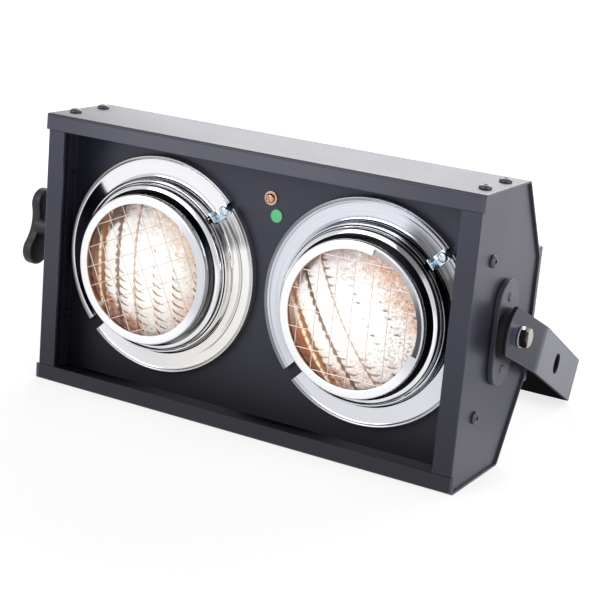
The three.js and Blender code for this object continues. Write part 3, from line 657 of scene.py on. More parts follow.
@finish
def powder_coat(place):
    """Fine orange peel under a satin sheen, faint patches of handling, and painted light and shade."""
    coat = picked("coat")
    peel = place.noise(900.0, 3.0, 0.55)
    fleck = place.noise(2600.0, 1.0)
    patch = place.noise(14.0, 2.0)
    grain = fleck.step(0.45, 0.8)
    x, y, height = place.xyz()
    behind, below = y - FRONT, HEIGHT - height
    # masks for painted light and shade: the recess, the top lip and the fold along the front of the top
    inside = abs(x).fall(184.5, 185.0) * height.step(1.0, 1.4) * below.step(1.6, 2.0)
    inside = inside * y.fall(3.0, 5.0)
    recess_shade = inside * height.fall(4.0, 150.0) * 0.9
    lip = behind.fall(0.6, 1.4) * below.fall(12.0, 14.0) * below.step(0.0, 1.2)
    lip = lip * (1.0 - x.step(40.0, 175.0) * 0.7) * (1.0 - (-x).step(90.0, 185.0) * 0.7)
    fold = below.fall(1.6, 2.6) * below.step(0.0, 0.2) * behind.fall(1.2, 2.0)
    base = painted(
        (patch * 0.6 + grain * 0.4).vary(coat, 0.86, 1.25),
        # painted shade darkens the recess downwards, and a painted sheen makes the top lip a little lighter
        (recess_shade, shades(coat, 0.1)),
        (lip * 0.9, (0.165, 0.165, 0.182)),
        # painted light: the top of the recess is lighter
        (inside * height.step(150.0, 205.0) * 0.5, shades(coat, 1.9)),
        # painted light: the side panels are lighter than the rest of the coat
        (abs(x).step(185.4, 185.8) * 0.8, (0.066, 0.066, 0.088)),
        # painted dark reflection: the fold along the front of the top is darker than both faces beside it
        (fold * 0.85, shades(coat, 0.25)),
    )
    top = below.fall(0.1, 0.3)
    return {
        "Base Color": base,
        "Roughness": 0.31 + patch * 0.1 + grain * 0.05 + top * 0.06 + recess_shade * 0.3,
        "Specular IOR Level": 0.62,
        "Specular Tint": COAT_SHEEN,
        "Normal": peel.bump(0.35, 0.00012, fleck.bump(0.2, 0.00004)),
    }


@finish
def yoke_coat(place):
    """The same coat on the bar, with painted light on the right arm's outer face and the edges, and painted
    shade on its inner faces and in its eyes.
    """
    coat = picked("coat")
    patch = place.noise(14.0, 2.0)
    x, y, z = place.xyz()
    y, z = y - PIVOT.y, z - PIVOT.z
    run = y * math.cos(YOKE_ANGLE) - z * math.sin(YOKE_ANGLE)
    rise = y * math.sin(YOKE_ANGLE) + z * math.cos(YOKE_ANGLE)
    # as far out as the arm would be if it went on straight
    span = abs(x) + (run - YOKE_BEND).most(0.0) * 0.1456
    # painted shade: the inner faces of the bar and the walls of its eyes are near black
    shaded_inside = span.fall(200.4, 201.6) * run.fall(231.7, 232.4)
    off = (abs(run - EYE_AT) - 2.8).most(0.0)
    eye = (off * off + rise * rise) ** 0.5
    # painted light on the outer face of the right arm past its bend
    outer = span.step(200.2, 201.2) * run.fall(226.0, 231.0) * x.step(0, 1)
    dark = shaded_inside.most(eye.fall(7.9, 8.4))
    return {
        "Base Color": painted(
            patch.vary(coat, 0.8, 1.2),
            (run.step(44.0, 62.0) * outer * 0.85, (0.24, 0.24, 0.285)),
            # painted highlight along the long edges of the bar
            (abs(rise).step(16.6, 17.8) * 0.5, shades(coat, 2.6)),
            (dark, (0.002, 0.002, 0.003)),
        ),
        "Roughness": 0.3 + patch * 0.1 + dark * 0.4,
        "Specular IOR Level": 0.24,
        "Specular Tint": COAT_SHEEN,
        "Normal": place.noise(900.0, 3.0, 0.55).bump(0.35, 0.00012),
    }


def metal(place, shade, rough, streak=60.0):
    """Polished or satin metal, with faint streaks and smears."""
    smear = place.noise(35.0, 3.0, 0.6)
    streaks = place.noise(streak, 2.0, 0.6, stretch=(1.0, 1.0, 14.0))
    return {
        "Base Color": smear.vary(picked(shade), 0.94, 1.03),
        "Metallic": 1.0,
        "Roughness": rough + smear * rough * 0.5 + streaks * rough * 0.35,
        "Normal": streaks.bump(0.12, 0.00003),
    }


def moulded(place, shade, rough):
    """Moulded plastic or rubber with a fine spark-eroded grain."""
    grain = place.noise(1500.0, 2.0, 0.6)
    return {
        "Base Color": place.noise(40.0, 2.0).vary(picked(shade), 0.85, 1.25),
        "Roughness": rough + grain * 0.1,
        "Normal": grain.bump(0.3, 0.00008),
    }


FINISHES.update(
    zinc=functools.partial(metal, shade="zinc", rough=0.16, streak=200.0),
    brass=functools.partial(metal, shade="copper", rough=0.2, streak=200.0),
    tungsten=functools.partial(metal, shade="tungsten", rough=0.4),
    mirror_glass=functools.partial(metal, shade="mirror", rough=0.14),
    black_plastic=functools.partial(moulded, shade="plastic", rough=0.42),
    rubber=functools.partial(moulded, shade="rubber", rough=0.6),
    ceramic=functools.partial(moulded, shade="ceramic", rough=0.5),
    green_label=functools.partial(moulded, shade="label", rough=0.4),
)


class Around:
    """Where a place lies round the axis of a lamp: right of it, above, out and behind, in mm."""

    def __init__(self, place, side):
        x, y, z = place.xyz()
        self.right, self.up, self.behind = x - SIDES[side] * LAMP_X, z - PIVOT.z, y - FRONT
        self.out = (self.right * self.right + self.up * self.up) ** 0.5
        # streaks as a lathe or a polishing wheel leaves them
        vector = place.node("ShaderNodeCombineXYZ", {
            0: self.out * 0.9, 1: self.right / self.out, 2: self.up / self.out,
        })
        self.spun = vector.noise(1.3, 3.0, 0.65)

    def toward(self, angle, full, none):
        """1 within an angle of a direction, and 0 beyond another angle."""
        turn = math.radians(angle)
        along = self.right * math.cos(turn) + self.up * math.sin(turn)
        return (along / self.out).step(math.cos(math.radians(none)), math.cos(math.radians(full)))

    def line(self, radius, half):
        """1 on a thin circle."""
        return abs(self.out - radius).fall(half * 0.4, half)


@finish_of_lamps
def ring_chrome(place, side):
    """Polished chrome of a split ring, with the soft reflections of a plain room."""
    spot = Around(place, side)
    tone = spot.spun.step(0.3, 0.7)
    # painted reflections: each ring is lighter or darker by angle round it, with a warm patch, dark patches
    # and thin dark lines
    if side == "left":
        shade = tone.tint((0.76, 0.76, 0.775), (0.81, 0.81, 0.82))
        shade = (spot.toward(-28, 30, 70) * 0.6).tint(shade, (0.9, 0.875, 0.83))
        dark = spot.toward(31, 3, 13) * tone.step(0.0, 0.8) * 0.75
        dark = dark + spot.line(76.2, 0.7) * spot.toward(-8, 34, 52) * 0.7
        dark = dark + spot.line(74.4, 1.3) * spot.toward(5, 26, 44) * 0.35
    else:
        shade = tone.tint((0.59, 0.61, 0.665), (0.69, 0.71, 0.765))
        shade = (spot.toward(-85, 34, 66) * 0.8).tint(shade, (0.77, 0.785, 0.83))
        inner = (spot.out + tone * 1.5).fall(76.0, 82.0)
        dark = spot.toward(46, 13, 28) * (inner * 0.55 + 0.4) * (0.7 + tone * 0.3)
        dark = dark + spot.toward(8, 12, 26) * inner * 0.7
        dark = dark + spot.line(80.6, 0.6) * spot.toward(50, 16, 28) * 0.7
        dark = dark + spot.line(82.4, 0.9) * spot.toward(170, 60, 80) * 0.35
    # painted dark reflection on the rolled rim, darkest towards the left
    rolled = spot.out.step(84.0, 84.8)
    dark = dark + rolled * (spot.toward(-165, 50, 90) * 0.4 + 0.25)
    return {
        "Base Color": dark.maths("MINIMUM", dark, 0.94).tint(shade, (0.05, 0.045, 0.045)),
        "Metallic": 1.0,
        "Roughness": 0.07 + tone * 0.05 + rolled * 0.25,
        "Normal": spot.spun.bump(0.05, 0.00008),
    }


@finish_of_lamps
def cup_chrome(place, side):
    """Chrome outside, and painted shade down the inside of the cup."""
    spot = Around(place, side)
    inside = spot.out.fall(65.0, 65.5) * spot.behind.step(13.2, 14.2)
    tone = spot.spun.step(0.3, 0.7)
    shade = tone.tint((0.7, 0.71, 0.73), (0.98, 0.98, 0.99))
    # painted shade down the inside of the cup
    painted_inside = tone.tint((0.012, 0.012, 0.014), (0.035, 0.034, 0.036))
    # painted reflections: a pale patch inside the left cup; a dark patch outside and a grey one inside the
    # right cup
    if side == "left":
        painted_inside = (spot.toward(-20, 36, 62) * 0.9).tint(painted_inside, (0.5, 0.48, 0.47))
    else:
        shade = (spot.toward(54, 8, 20) * 0.85).tint(shade, (0.16, 0.16, 0.17))
        painted_inside = (spot.toward(66, 18, 46) * tone * 0.7).tint(painted_inside, (0.2, 0.2, 0.23))
    return {
        "Base Color": inside.tint(shade, painted_inside),
        "Metallic": 1.0,
        "Roughness": tone * 0.04 + 0.06 + inside * 0.3,
        "Normal": spot.spun.bump(0.12, 0.0001),
    }


@finish_of_lamps
def bezel_satin(place, side):
    """Satin in front, polished round the side, with painted reflections, and painted shade behind the step.
    """
    spot = Around(place, side)
    shaded_wall = spot.behind.step(8.0, 8.6) * spot.out.step(57.8, 58.1)
    rim = spot.behind.step(3.2, 4.6) * spot.out.step(58.2, 58.8)
    grain = place.noise(260.0, 3.0, 0.6)
    # painted light and shade: the left bezel is a little darker than the right; each is darker to the right,
    # lighter below and darker on its polished rim
    low = {"left": (0.80, 0.80, 0.83), "right": (0.9, 0.9, 0.92)}[side]
    shade = painted(
        (grain * 0.5 + spot.spun * 0.5).tint(low, (0.97, 0.97, 0.98)),
        (spot.toward(5, 22, 60), (0.66, 0.67, 0.71)),
        (spot.toward(-80, 25, 62), (0.95, 0.97, 1.0)),
        (rim * 0.75, (0.34, 0.35, 0.38)),
    )
    # painted shade on the wall behind the step, with a band of painted reflection across it
    dark = (0.03, 0.03, 0.034)
    if side == "left":
        band = abs(spot.behind - 12.0).fall(2.2, 3.6)
        dark = (spot.toward(-25, 38, 62) * band).tint(dark, (0.7, 0.7, 0.73))
        clip = spot.toward(31.5, 9, 10.5) * spot.behind.step(3.6, 4.0) * rim
        shade = clip.tint(shade, (0.82, 0.92, 0.98))
    else:
        band = abs(spot.behind - 11.0).fall(1.2, 3.0)
        dark = (spot.toward(80, 34, 60) * band * 0.8).tint(dark, (0.3, 0.3, 0.34))
    return {
        "Base Color": shaded_wall.tint(shade, dark),
        "Metallic": 1.0,
        "Roughness": 0.34 - rim * 0.2 - shaded_wall * 0.1 + grain * 0.06,
        "Normal": grain.bump(0.1, 0.00004),
    }


@finish_of_lamps
def guard_steel(place, side):
    """Thin bright wires, and the brushed ring that carries them."""
    spot = Around(place, side)
    grain = place.noise(300.0, 3.0, 0.6)
    wires = grain.tint((0.62, 0.53, 0.51), (0.82, 0.73, 0.70))
    ring = grain.tint((0.34, 0.34, 0.36), (0.6, 0.6, 0.62))
    # painted shade: the ring is darker towards its right
    ring = spot.toward(-4, 12, 42).tint(ring, (0.1, 0.1, 0.11))
    return {
        "Base Color": spot.out.step(53.0, 53.3).tint(wires, ring),
        "Metallic": 1.0,
        "Roughness": 0.42 + grain * 0.1,
    }


@finish
def bolt_steel(place):
    """Bright steel with the dark reflections that fall on the front facets of the head."""
    cloud = place.noise(190.0, 2.0)
    front = place.xyz()[1] - PIVOT.y + (cloud - 0.5) * 16.0
    return {
        "Base Color": front.step(-4.5, -1.5).tint((0.05, 0.045, 0.04), (0.62, 0.57, 0.53)),
        "Metallic": 1.0,
        "Roughness": 0.12 + cloud * 0.08,
    }


@finish
def black_steel(place):
    """Blackened screw heads, a little glossier than the coat."""
    wear = place.noise(700.0, 2.0, 0.6)
    return {
        "Base Color": wear.vary(picked("steel"), 0.8, 1.4),
        "Roughness": 0.28 + wear * 0.16,
        "Specular IOR Level": 0.8,
        "Normal": wear.bump(0.2, 0.00005),
    }


# How the two lenses differ: lengths in millimetres, angles in degrees, the rest shares or colours
LENSES = {
    "left": SimpleNamespace(
        groove=(0.14, 0.062, 0.042), groove_width=1.0, flank=41.0, rib_depth=0.85,
        rib_reach=(-6.0, 22.0), tick_reach=(0.09, 0.22), scales=0.4, crackle=0.3, dark_specks=0.0,
        amber=(0, 38, 60), golden=0.35, glow=0.53, streak_top=14.0, middle=0.15,
        high_side=(0.13, 0.065, 0.045), upper_edge=(0.82, 0.62, 0.46),
    ),
    "right": SimpleNamespace(
        groove=(0.085, 0.038, 0.026), groove_width=0.78, flank=47.5, rib_depth=0.72,
        rib_reach=(16.0, 46.0), tick_reach=(0.13, 0.32), scales=0.95, crackle=0.75, dark_specks=0.6,
        amber=(32, 20, 44), golden=0.1, glow=0.66, streak_top=-4.0, middle=0.8,
        high_side=(0.34, 0.2, 0.17), upper_edge=(0.72, 0.38, 0.22),
    ),
}
# a pink of painted reflection, and the painted shade under the ribs
BLUSH = (0.50, 0.38, 0.34)
RIB_SHADE = (0.10, 0.06, 0.048)


def fluting(side, x, z, radius):
    """How far a place on a lens is across its long grooves and along them: numbers or Shades."""
    turn = math.radians(LAMP_TURNS[side])
    bulge = 1.0 - radius * radius * (1 / LENS_RADIUS ** 2)
    across = x * math.cos(turn) + z * math.sin(turn) + bulge * FLUTE_BULGE - FLUTE_SHIFT
    return across, z * math.cos(turn) - x * math.sin(turn)


@finish_of_lamps
def lamp_glass(place, side):
    """The look of a pressed lens, painted with the glow and reflections seen in it: white in the middle,
    pink, amber and brown to the edge, with brown scalloped grooves between the flutes and short dark
    ribs across them, as painted shade."""
    lens = LENSES[side]
    sizes = bpy.context.scene.blinder_sizes
    spot = Around(place, side)
    x, z, radius = spot.right, spot.up, spot.out
    across, along = fluting(side, x, z, radius)
    wobble = place.noise(160.0, 2.0) - 0.5
    ripple = place.noise(420.0, 2.0) - 0.5
    share = (across * (MM / sizes.flute_pitch) + 0.5).fraction()
    off = share - 0.5
    saw = (along - off * off * RIB_SAG + wobble * 1.8) * (MM / sizes.rib_pitch)
    saw = saw.fraction()
    beat = abs(saw - 0.5) * 2.0
    near_groove = share.maths("MINIMUM", share, 1.0 - share)
    line = across + FLUTE_SHIFT
    lower = (-z).step(*lens.rib_reach)
    leftness = (-line).step(-4.0, 12.0)
    edge = (radius + wobble * 10.0).step(39.0, 50.0)
    # painted glow: a bright core a little right of the middle
    far = ((x - 5.0) * (x - 5.0) + (z - 1.0) * (z - 1.0) * 0.7) ** 0.5
    glowing_core = far.fall(10.0, 48.0)
    # painted shade along the grooves: wide and golden at the far left, thinner to the middle
    wide = (-line).step(4.0, 44.0) * 0.18 + 0.07
    wide = wide * (0.45 + beat * 0.75) * lens.groove_width + ripple * 0.06
    groove = near_groove.fall(wide * 0.5, wide + 0.016) * leftness * (1.0 - glowing_core * 0.35)
    gold = (-line).step(30.0, 36.0)
    # painted shade of ribs that start thick at the groove and thin out, and of short ticks at the right
    width = share.fall(0.03, 0.8) * 0.5
    rib = saw.fall(width * 0.5, width + 0.05) * (ripple + 1.0) * lower.step(0.0, 0.6)
    rib = rib * share.fall(lower * 0.35 + 0.15, lower * 0.5 + 0.45)
    scale = saw.fall(0.14, 0.4) * share.fall(0.12, 0.5) * z.step(8.0, 28.0)
    scale = scale * (line - 2.0).fall(0.0, 16.0) * lens.scales
    tick = saw.fall(0.22, 0.42) * saw.step(0.02, 0.1) * share.fall(*lens.tick_reach)
    tick = tick * (1.0 - leftness) * z.fall(14.0, 28.0) * place.noise(110.0, 1.0).step(0.36, 0.52)
    # painted highlights: a golden streak and golden teeth along the grooves at the left
    streak = abs(line + 44.6).fall(0.6, 2.0) * (z - lens.streak_top).fall(0.0, 10.0)
    streak = streak * (saw.step(0.1, 0.3) * 0.75 + 0.25)
    tooth = abs(line + 36.5).fall(0.6, 1.8) * beat * 0.6
    web = abs(place.noise(95.0, 1.5) - 0.5).fall(0.003, 0.012)
    speck = place.noise(380.0, 3.0, 0.7).step(0.57, 0.63)
    # painted reflections: patches of amber, white, pink, peach, brown and rust, and painted white glints
    golden = (radius + wobble * 26.0).step(28.0, 44.0) * spot.toward(2, 34, 60)
    patch = (radius + wobble * 28.0).step(26.0, 43.0) * spot.toward(48, 24, 44)
    glint = place.noise(230.0, 3.0, 0.7).step(0.54, 0.6) * radius.fall(46.0, 52.0)
    flank = (radius + wobble * 8.0).step(lens.flank, lens.flank + 4.5) * spot.toward(172, 44, 66)
    flank = (flank * 0.92).most((-line + wobble * 2.0).step(45.5, 47.5))
    low_left = (radius + wobble * 10.0).step(40.0, 46.0) * spot.toward(-130, 26, 48)
    blush = near_groove.fall(0.02, 0.3) * leftness * 0.3 + lower * share.fall(0.0, 0.8) * 0.3
    # fine crackle and dark specks on the glass
    crackle = place.noise(430.0, 4.0, 0.75).fall(0.4, 0.54)
    crackle = crackle * far.step(8.0, 30.0) * (x + z * 0.3).step(-24.0, 10.0)
    dark_specks = (x - z * 0.4).step(4.0, 26.0) * (1.0 - edge) * lens.dark_specks
    # painted reflection: the left side is brown, and paler in the middle of its height
    side_reflection = painted(
        (z + wobble * 18.0).step(-22.0, 24.0).tint(picked("rust"), lens.high_side),
        (abs(z + 6.0).fall(8.0, 20.0) * lens.middle, (0.92, 0.68, 0.60)),
    )
    shade = painted(
        (ripple + 0.5).tint((0.93, 0.90, 0.85), (1.0, 0.985, 0.93)),
        ((z + wobble * 16.0).step(20.0, 44.0) * 0.5, (0.70, 0.61, 0.60)),
        ((-z + wobble * 16.0).step(16.0, 48.0) * 0.36, BLUSH),
        (edge * spot.toward(*lens.amber) * 0.85, picked("amber")),
        (edge * spot.toward(80, 30, 60) * 0.75, BLUSH),
        (golden * lens.golden, (1.0, 0.82, 0.56)),
        (patch * (speck * 0.2 + 0.7), lens.upper_edge),
        (glint * radius.step(14.0, 34.0) * 0.55, (1.0, 1.0, 1.0)),
        (flank, side_reflection),
        (low_left * 0.8, picked("rust")),
        (crackle * lens.crackle, (0.47, 0.41, 0.41)),
        (speck * dark_specks, (0.27, 0.27, 0.29)),
        (speck * (edge * 0.55 + 0.05), picked("umber")),
        (web * x.step(-8.0, 6.0) * 0.3 * z.step(-30.0, 8.0), RIB_SHADE),
        # painted shade at the edge, beside the bezel
        (radius.step(49.5, 53.0) * 0.5, picked("umber")),
        (blush * (1.0 - flank.most(low_left)), (0.86, 0.60, 0.44)),
        (groove * 0.92, gold.tint(lens.groove, (0.32, 0.125, 0.05))),
        (rib * lens.rib_depth * (1.0 - glowing_core * 0.3), RIB_SHADE),
        (tick * 0.85, RIB_SHADE),
        (scale, RIB_SHADE),
        (streak * 0.95, (1.0, 0.86, 0.56)),
        (tooth, (0.95, 0.80, 0.5)),
    )
    # painted light: the lens glows with its own colours, most in its bright core
    return {
        "Base Color": (glowing_core * 0.04 + 0.5).tint((0, 0, 0), shade),
        "Roughness": 0.2,
        "Coat Weight": 0.1,
        "Emission Color": (glowing_core * 0.26 + lens.glow).tint((0, 0, 0), shade),
        "Emission Strength": 1.0,
        "Normal": place.noise(420.0, 2.0).bump(0.25, 0.0002),
    }


def seen(place):
    """1 for what the camera sees, at once, in a reflection or through glass."""
    path = place.node("ShaderNodeLightPath", output="Is Camera Ray")
    outputs = path.socket.node.outputs
    glossy = Shade(place.tree, outputs["Is Glossy Ray"])
    return path.most(glossy).most(Shade(place.tree, outputs["Is Transmission Ray"]))


@finish
def studio_floor(place):
    """Pale, and white to the camera where no shadow falls on it; its glow is weaker near the object, as
    painted shade.
    """
    sight = seen(place)
    x, y, _ = place.xyz(1.0)
    away = (x * x + y * y) ** 0.5
    # painted shade: the floor glows less near the object, to the camera and in reflections, and least in
    # reflections close behind it
    shown = away.step(0.25, 1.2) * 0.2 + 0.72
    in_front = away.step(0.06, 0.7) * 0.08 + 0.69
    behind = away.step(0.35, 0.95) * 0.75 + 0.3
    mirrored = in_front + (behind - in_front) * y.step(0.05, 0.25)
    camera = place.node("ShaderNodeLightPath", output="Is Camera Ray")
    glow = camera * shown + (1.0 - camera) * mirrored
    pale = place.noise(3.0, 2.0).vary(picked("floor"), 0.99, 1.01)
    return {
        "Base Color": (sight * 0.6).tint(pale, (0, 0, 0)),
        "Roughness": 0.9,
        "Specular IOR Level": 0.0,
        "Emission Color": (sight * glow).tint((0, 0, 0), (1, 1, 1)),
        "Emission Strength": 1.0,
    }


# Operators: one for each piece or group of like pieces


class PieceOperator:
    """What the operators share: they make pieces, and the settings are at hand."""

    bl_options = {"REGISTER", "UNDO"}

    def execute(self, context):
        self.sizes = context.scene.blinder_sizes
        self.build()
        return {"FINISHED"}


HOUSING_OUTLINE = [
    (FRONT, 0), (PLATE_REAR, 0), (REAR, SLOPE_HEIGHT), (REAR, HEIGHT - SLOPE_HEIGHT),
    (PLATE_REAR, HEIGHT), (FRONT, HEIGHT),
]
LIP = 12.8


class BLINDER_OT_shell(PieceOperator, bpy.types.Operator):
    """Folds the housing shell and cuts its vents"""

    bl_idname = "blinder.shell"
    bl_label = "Housing Shell"

    def build(self):
        path = [(FRONT, LIP), *HOUSING_OUTLINE, (FRONT, HEIGHT - LIP)]
        shell = folded(
            "shell_sheet", [(-WIDTH, y, z) for y, z in path], (2 * WIDTH, 0, 0), self.sizes.bend,
        )
        broken(shell, self.sizes.edge)
        pitch, half_width, half_length = 14, 3, 15
        vents = []
        heights = (SLOPE_HEIGHT / 2, HEIGHT - SLOPE_HEIGHT / 2)
        for z, side, i in itertools.product(heights, (-1, 1), range(-3, 4)):
            outline = stadium(side * LAMP_X + i * pitch, z, half_width, half_length, 6)
            vents.append(slab("vent", outline, "XZ", PLATE_REAR, REAR + CUT_OUT))
        window = rod("window", 12, (0, REAR - 5, GLAND_HEIGHT), (0, REAR + 5, GLAND_HEIGHT))
        cut(shell, joined(*vents), window)
        finished(shell, "housing", "powder_coat", "housing_shell")


class BLINDER_OT_side_panels(PieceOperator, bpy.types.Operator):
    """Makes the two side panels with their front lips and flanges"""

    bl_idname = "blinder.side_panels"
    bl_label = "Side Panels"

    def build(self):
        gap = SHEET + SEAT
        slope = math.atan2(SLOPE_HEIGHT, REAR - PLATE_REAR)
        shift = gap * math.tan(slope / 2)
        rise = gap * math.tan((math.pi / 2 - slope) / 2)
        lip_front, lip_back = depth(SEAT), depth(gap)
        outline = [
            (lip_back, gap), (PLATE_REAR - shift, gap), (REAR - gap, SLOPE_HEIGHT + rise),
            (REAR - gap, HEIGHT - SLOPE_HEIGHT - rise), (PLATE_REAR - shift, HEIGHT - gap),
            (lip_back, HEIGHT - gap), (lip_back, HEIGHT - LIP - SEAT),
            (lip_front, HEIGHT - LIP - SEAT), (lip_front, LIP + SEAT), (lip_back, LIP + SEAT),
        ]
        flange = (depth(8), depth(72.5))
        lip_reach, flange_reach = 15.4, 16
        for side, way in SIDES.items():
            outer, inner = way * PANEL_X, way * (PANEL_X - SHEET)
            panel = slab("side_sheet_" + side, outline, "YZ", outer, inner)
            with editing(panel, "FACE"):
                for y in (lip_back, *flange):
                    bpy.ops.mesh.select_all(action="SELECT")
                    bpy.ops.mesh.bisect(plane_co=(0, y * MM, 0), plane_no=(0, 1, 0))
                for z in (gap + SHEET, HEIGHT - gap - SHEET):
                    bpy.ops.mesh.select_all(action="SELECT")
                    bpy.ops.mesh.bisect(plane_co=(0, 0, z * MM), plane_no=(0, 0, 1))
                pick(panel, "FACE", lambda c, n: near(c.x, inner) and c.y < lip_back)
                extrude((-way * (lip_reach - SHEET), 0, 0))
                pick(panel, "FACE", lambda c, n: (
                    near(c.x, inner) and flange[0] < c.y < flange[1]
                    and abs(c.z - HEIGHT / 2) > HEIGHT / 2 - gap - SHEET
                ))
                extrude((-way * (flange_reach - SHEET), 0, 0))
                pick(panel, "EDGE", lambda a, b: (
                    near(a.x, outer) and near(b.x, outer)
                    and near(a.y, lip_front) and near(b.y, lip_front)
                ))
                bpy.ops.mesh.bevel(offset=1.2 * MM, segments=4, affect="EDGES")
            cut(panel, pivot_rod(PIN_BORE, outer - 9, outer + 9))
            finished(panel, "housing", "powder_coat", "side_panel_" + side)


class BLINDER_OT_baffle(PieceOperator, bpy.types.Operator):
    """Folds the lamp panel and cuts its two round holes"""

    bl_idname = "blinder.baffle"
    bl_label = "Front Baffle"

    def build(self):
        edge = PANEL_X - SHEET - SEAT
        back, flange, hole = depth(34.5), 12, 68.8
        path = [(edge, back - flange), (edge, back), (-edge, back), (-edge, back - flange)]
        low, high = 5.5, HEIGHT - 2 * SHEET - 2 * SEAT
        # the fold turns towards the front, and the sheet's thickness lies on that side too
        baffle = folded(
            "baffle_sheet", [(x, y, low) for x, y in path], (0, 0, high - low), self.sizes.bend,
        )
        broken(baffle, self.sizes.edge)
        holes = [
            rod("hole", hole, lamp_centre(side, 20), lamp_centre(side, 45), 128) for side in SIDES
        ]
        cut(baffle, *holes)
        finished(baffle, "housing", "powder_coat", "front_baffle")


class BLINDER_OT_rear_cover(PieceOperator, bpy.types.Operator):
    """Makes the shallow pan over the rear wall"""

    bl_idname = "blinder.rear_cover"
    bl_label = "Rear Cover"

    def build(self):
        half, low, high = WIDTH - 1.5, 55.5, 162.5
        outer = depth(126)
        pan = block("cover_pan", (-half, PLATE_REAR, low), (half, outer, high))
        with editing(pan, "EDGE"):
            pick(pan, "EDGE", lambda a, b: (
                near(a.y, outer) and near(b.y, outer)
                or near(a.x, b.x) and near(a.z, b.z)
            ))
            bpy.ops.mesh.bevel(offset=self.sizes.bend, segments=4, affect="EDGES")
            pick(pan, "FACE", lambda c, n: near(c.y, PLATE_REAR))
            bpy.ops.mesh.delete(type="FACE")
        thickened(pan)
        grown = [
            (FRONT, -SEAT), (PLATE_REAR + 0.17, -SEAT), (REAR + SEAT, SLOPE_HEIGHT - 0.09),
            (REAR + SEAT, HEIGHT - SLOPE_HEIGHT + 0.09), (PLATE_REAR + 0.17, HEIGHT + SEAT),
            (FRONT, HEIGHT + SEAT),
        ]
        room = slab("room", grown, "YZ", -WIDTH - CUT_OUT, WIDTH + CUT_OUT)
        bore = rod("bore", 10.3, (0, REAR, GLAND_HEIGHT), (0, outer + 5, GLAND_HEIGHT))
        cut(pan, room, bore)
        broken(pan, self.sizes.edge, angle=60)
        finished(pan, "housing", "powder_coat", "rear_cover")


def hexagon(across_flats, centre_u=0.0, centre_v=0.0, turn=0.0):
    """The outline of a hexagon."""
    radius = across_flats / 2 / math.cos(math.pi / 6)
    return [
        (centre_u + radius * math.cos(turn + i * math.pi / 3),
         centre_v + radius * math.sin(turn + i * math.pi / 3))
        for i in range(6)
    ]


def chamfered(piece, centre, along, radius, end):
    """Takes the corners off the outer end of a nut or head, as a lathe does."""
    reach, slope = 6.0, 0.58
    profile = [
        (radius, end), (radius + reach, end - reach * slope),
        (radius + reach, end + 2), (radius, end + 2),
    ]
    return cut(piece, turned("chamfer", profile, centre, along, 48))


class BLINDER_OT_gland(PieceOperator, bpy.types.Operator):
    """Makes the cable gland: hexagon, domed cap and bore"""

    bl_idname = "blinder.gland"
    bl_label = "Cable Gland"

    def build(self):
        centre = Vector((0, 0, GLAND_HEIGHT))
        plate, hex_end = depth(126.3), depth(132.3)
        cap = softened([
            (5, plate - 6.7), (10, plate - 6.7), (10, hex_end - 0.8), (11.3, hex_end - 0.8),
            (11.3, hex_end + 9, 2.5), (8.6, hex_end + 14, 2.0), (5.6, hex_end + 14, 0.8),
            (5, hex_end + 13.2),
        ], 0.3, 3)
        body = turned("gland_cap", cap, centre, (0, 1, 0), 72)
        nut = slab("gland_hex", hexagon(24, 0, centre.z, math.pi / 2), "XZ", plate, hex_end)
        nut = chamfered(nut, centre, (0, 1, 0), 11.6, hex_end)
        ends = [(0, plate - CUT_OUT, centre.z), (0, hex_end + CUT_OUT, centre.z)]
        cut(nut, rod("bore", 5.05, *ends))
        grip_ribs, rib_length = 12, 7.4
        ribs = []
        for i in range(grip_ribs):
            start = centre + Vector((0, hex_end + 1, 0)) + around(i * 360 / grip_ribs) * 11.0
            ribs.append(rod("rib", 0.75, start, start + Vector((0, rib_length, 0)), 10))
        cut(body, nut, operation="UNION")
        body = joined(body, *ribs)
        finished(named(body, "cable_gland"), "housing", "black_plastic", "gland_body")


def button_screw(head=4.75, high=2.6, shank=2.0, long=7.0, hexed=True):
    """A round-headed screw at the origin that looks along +Z, with a socket or a cross."""
    flat, rim = 1.6, 0.45
    profile = [(0, -long), (shank, -long), (shank, 0), (head, 0)]
    for u, v in around_by(0, math.pi / 2, 7):
        profile.append((flat + (head - flat) * u, rim + (high - rim) * v))
    profile.append((0, high))
    screw = turned("screw", profile, (0, 0, 0), (0, 0, 1), 48)
    if hexed:
        socket = slab("socket", hexagon(3.2), "XY", high - 1.4, high + 2)
        cut(screw, socket)
    else:
        bars = []
        for turn in (0, 90):
            bar = block("bar", (-head * 0.62, -0.42, high - 1.3), (head * 0.62, 0.42, high + 2))
            bars.append(turned_about(bar, (0, 0, 0), (0, 0, 1), turn))
        cut(screw, *bars)
    return screw


class BLINDER_OT_case_screws(PieceOperator, bpy.types.Operator):
    """Models one button screw and copies it to every hole of the housing"""

    bl_idname = "blinder.case_screws"
    bl_label = "Case Screws"

    def build(self):
        screw = button_screw()
        long_screw = button_screw(long=13.5)
        row = PANEL_X - 9
        groups = [("top_screw", screw, (0, 0, 1), [
            (x, depth(at), HEIGHT + SEAT) for x in (-row, row) for at in (22, 58)
        ])]
        for side, way in SIDES.items():
            places = [(way * (PANEL_X + SEAT), depth(28.5), z) for z in (51, 167)]
            groups.append(("side_screw_" + side, screw, (way, 0, 0), places))
        groups.append(("cover_screw", long_screw, (0, 1, 0), [
            (x, depth(126.3), z) for x in (-150, 150) for z in (74, 144)
        ]))
        spin = 0.0
        for group, model, towards, places in groups:
            for number, place in enumerate(places, 1):
                node = f"{group}_{number}"
                twin = copied(model, "button_" + node, place, towards, spin)
                finished(twin, "housing", "black_steel", node)
                spin += 0.7
        bpy.data.objects.remove(screw)
        bpy.data.objects.remove(long_screw)


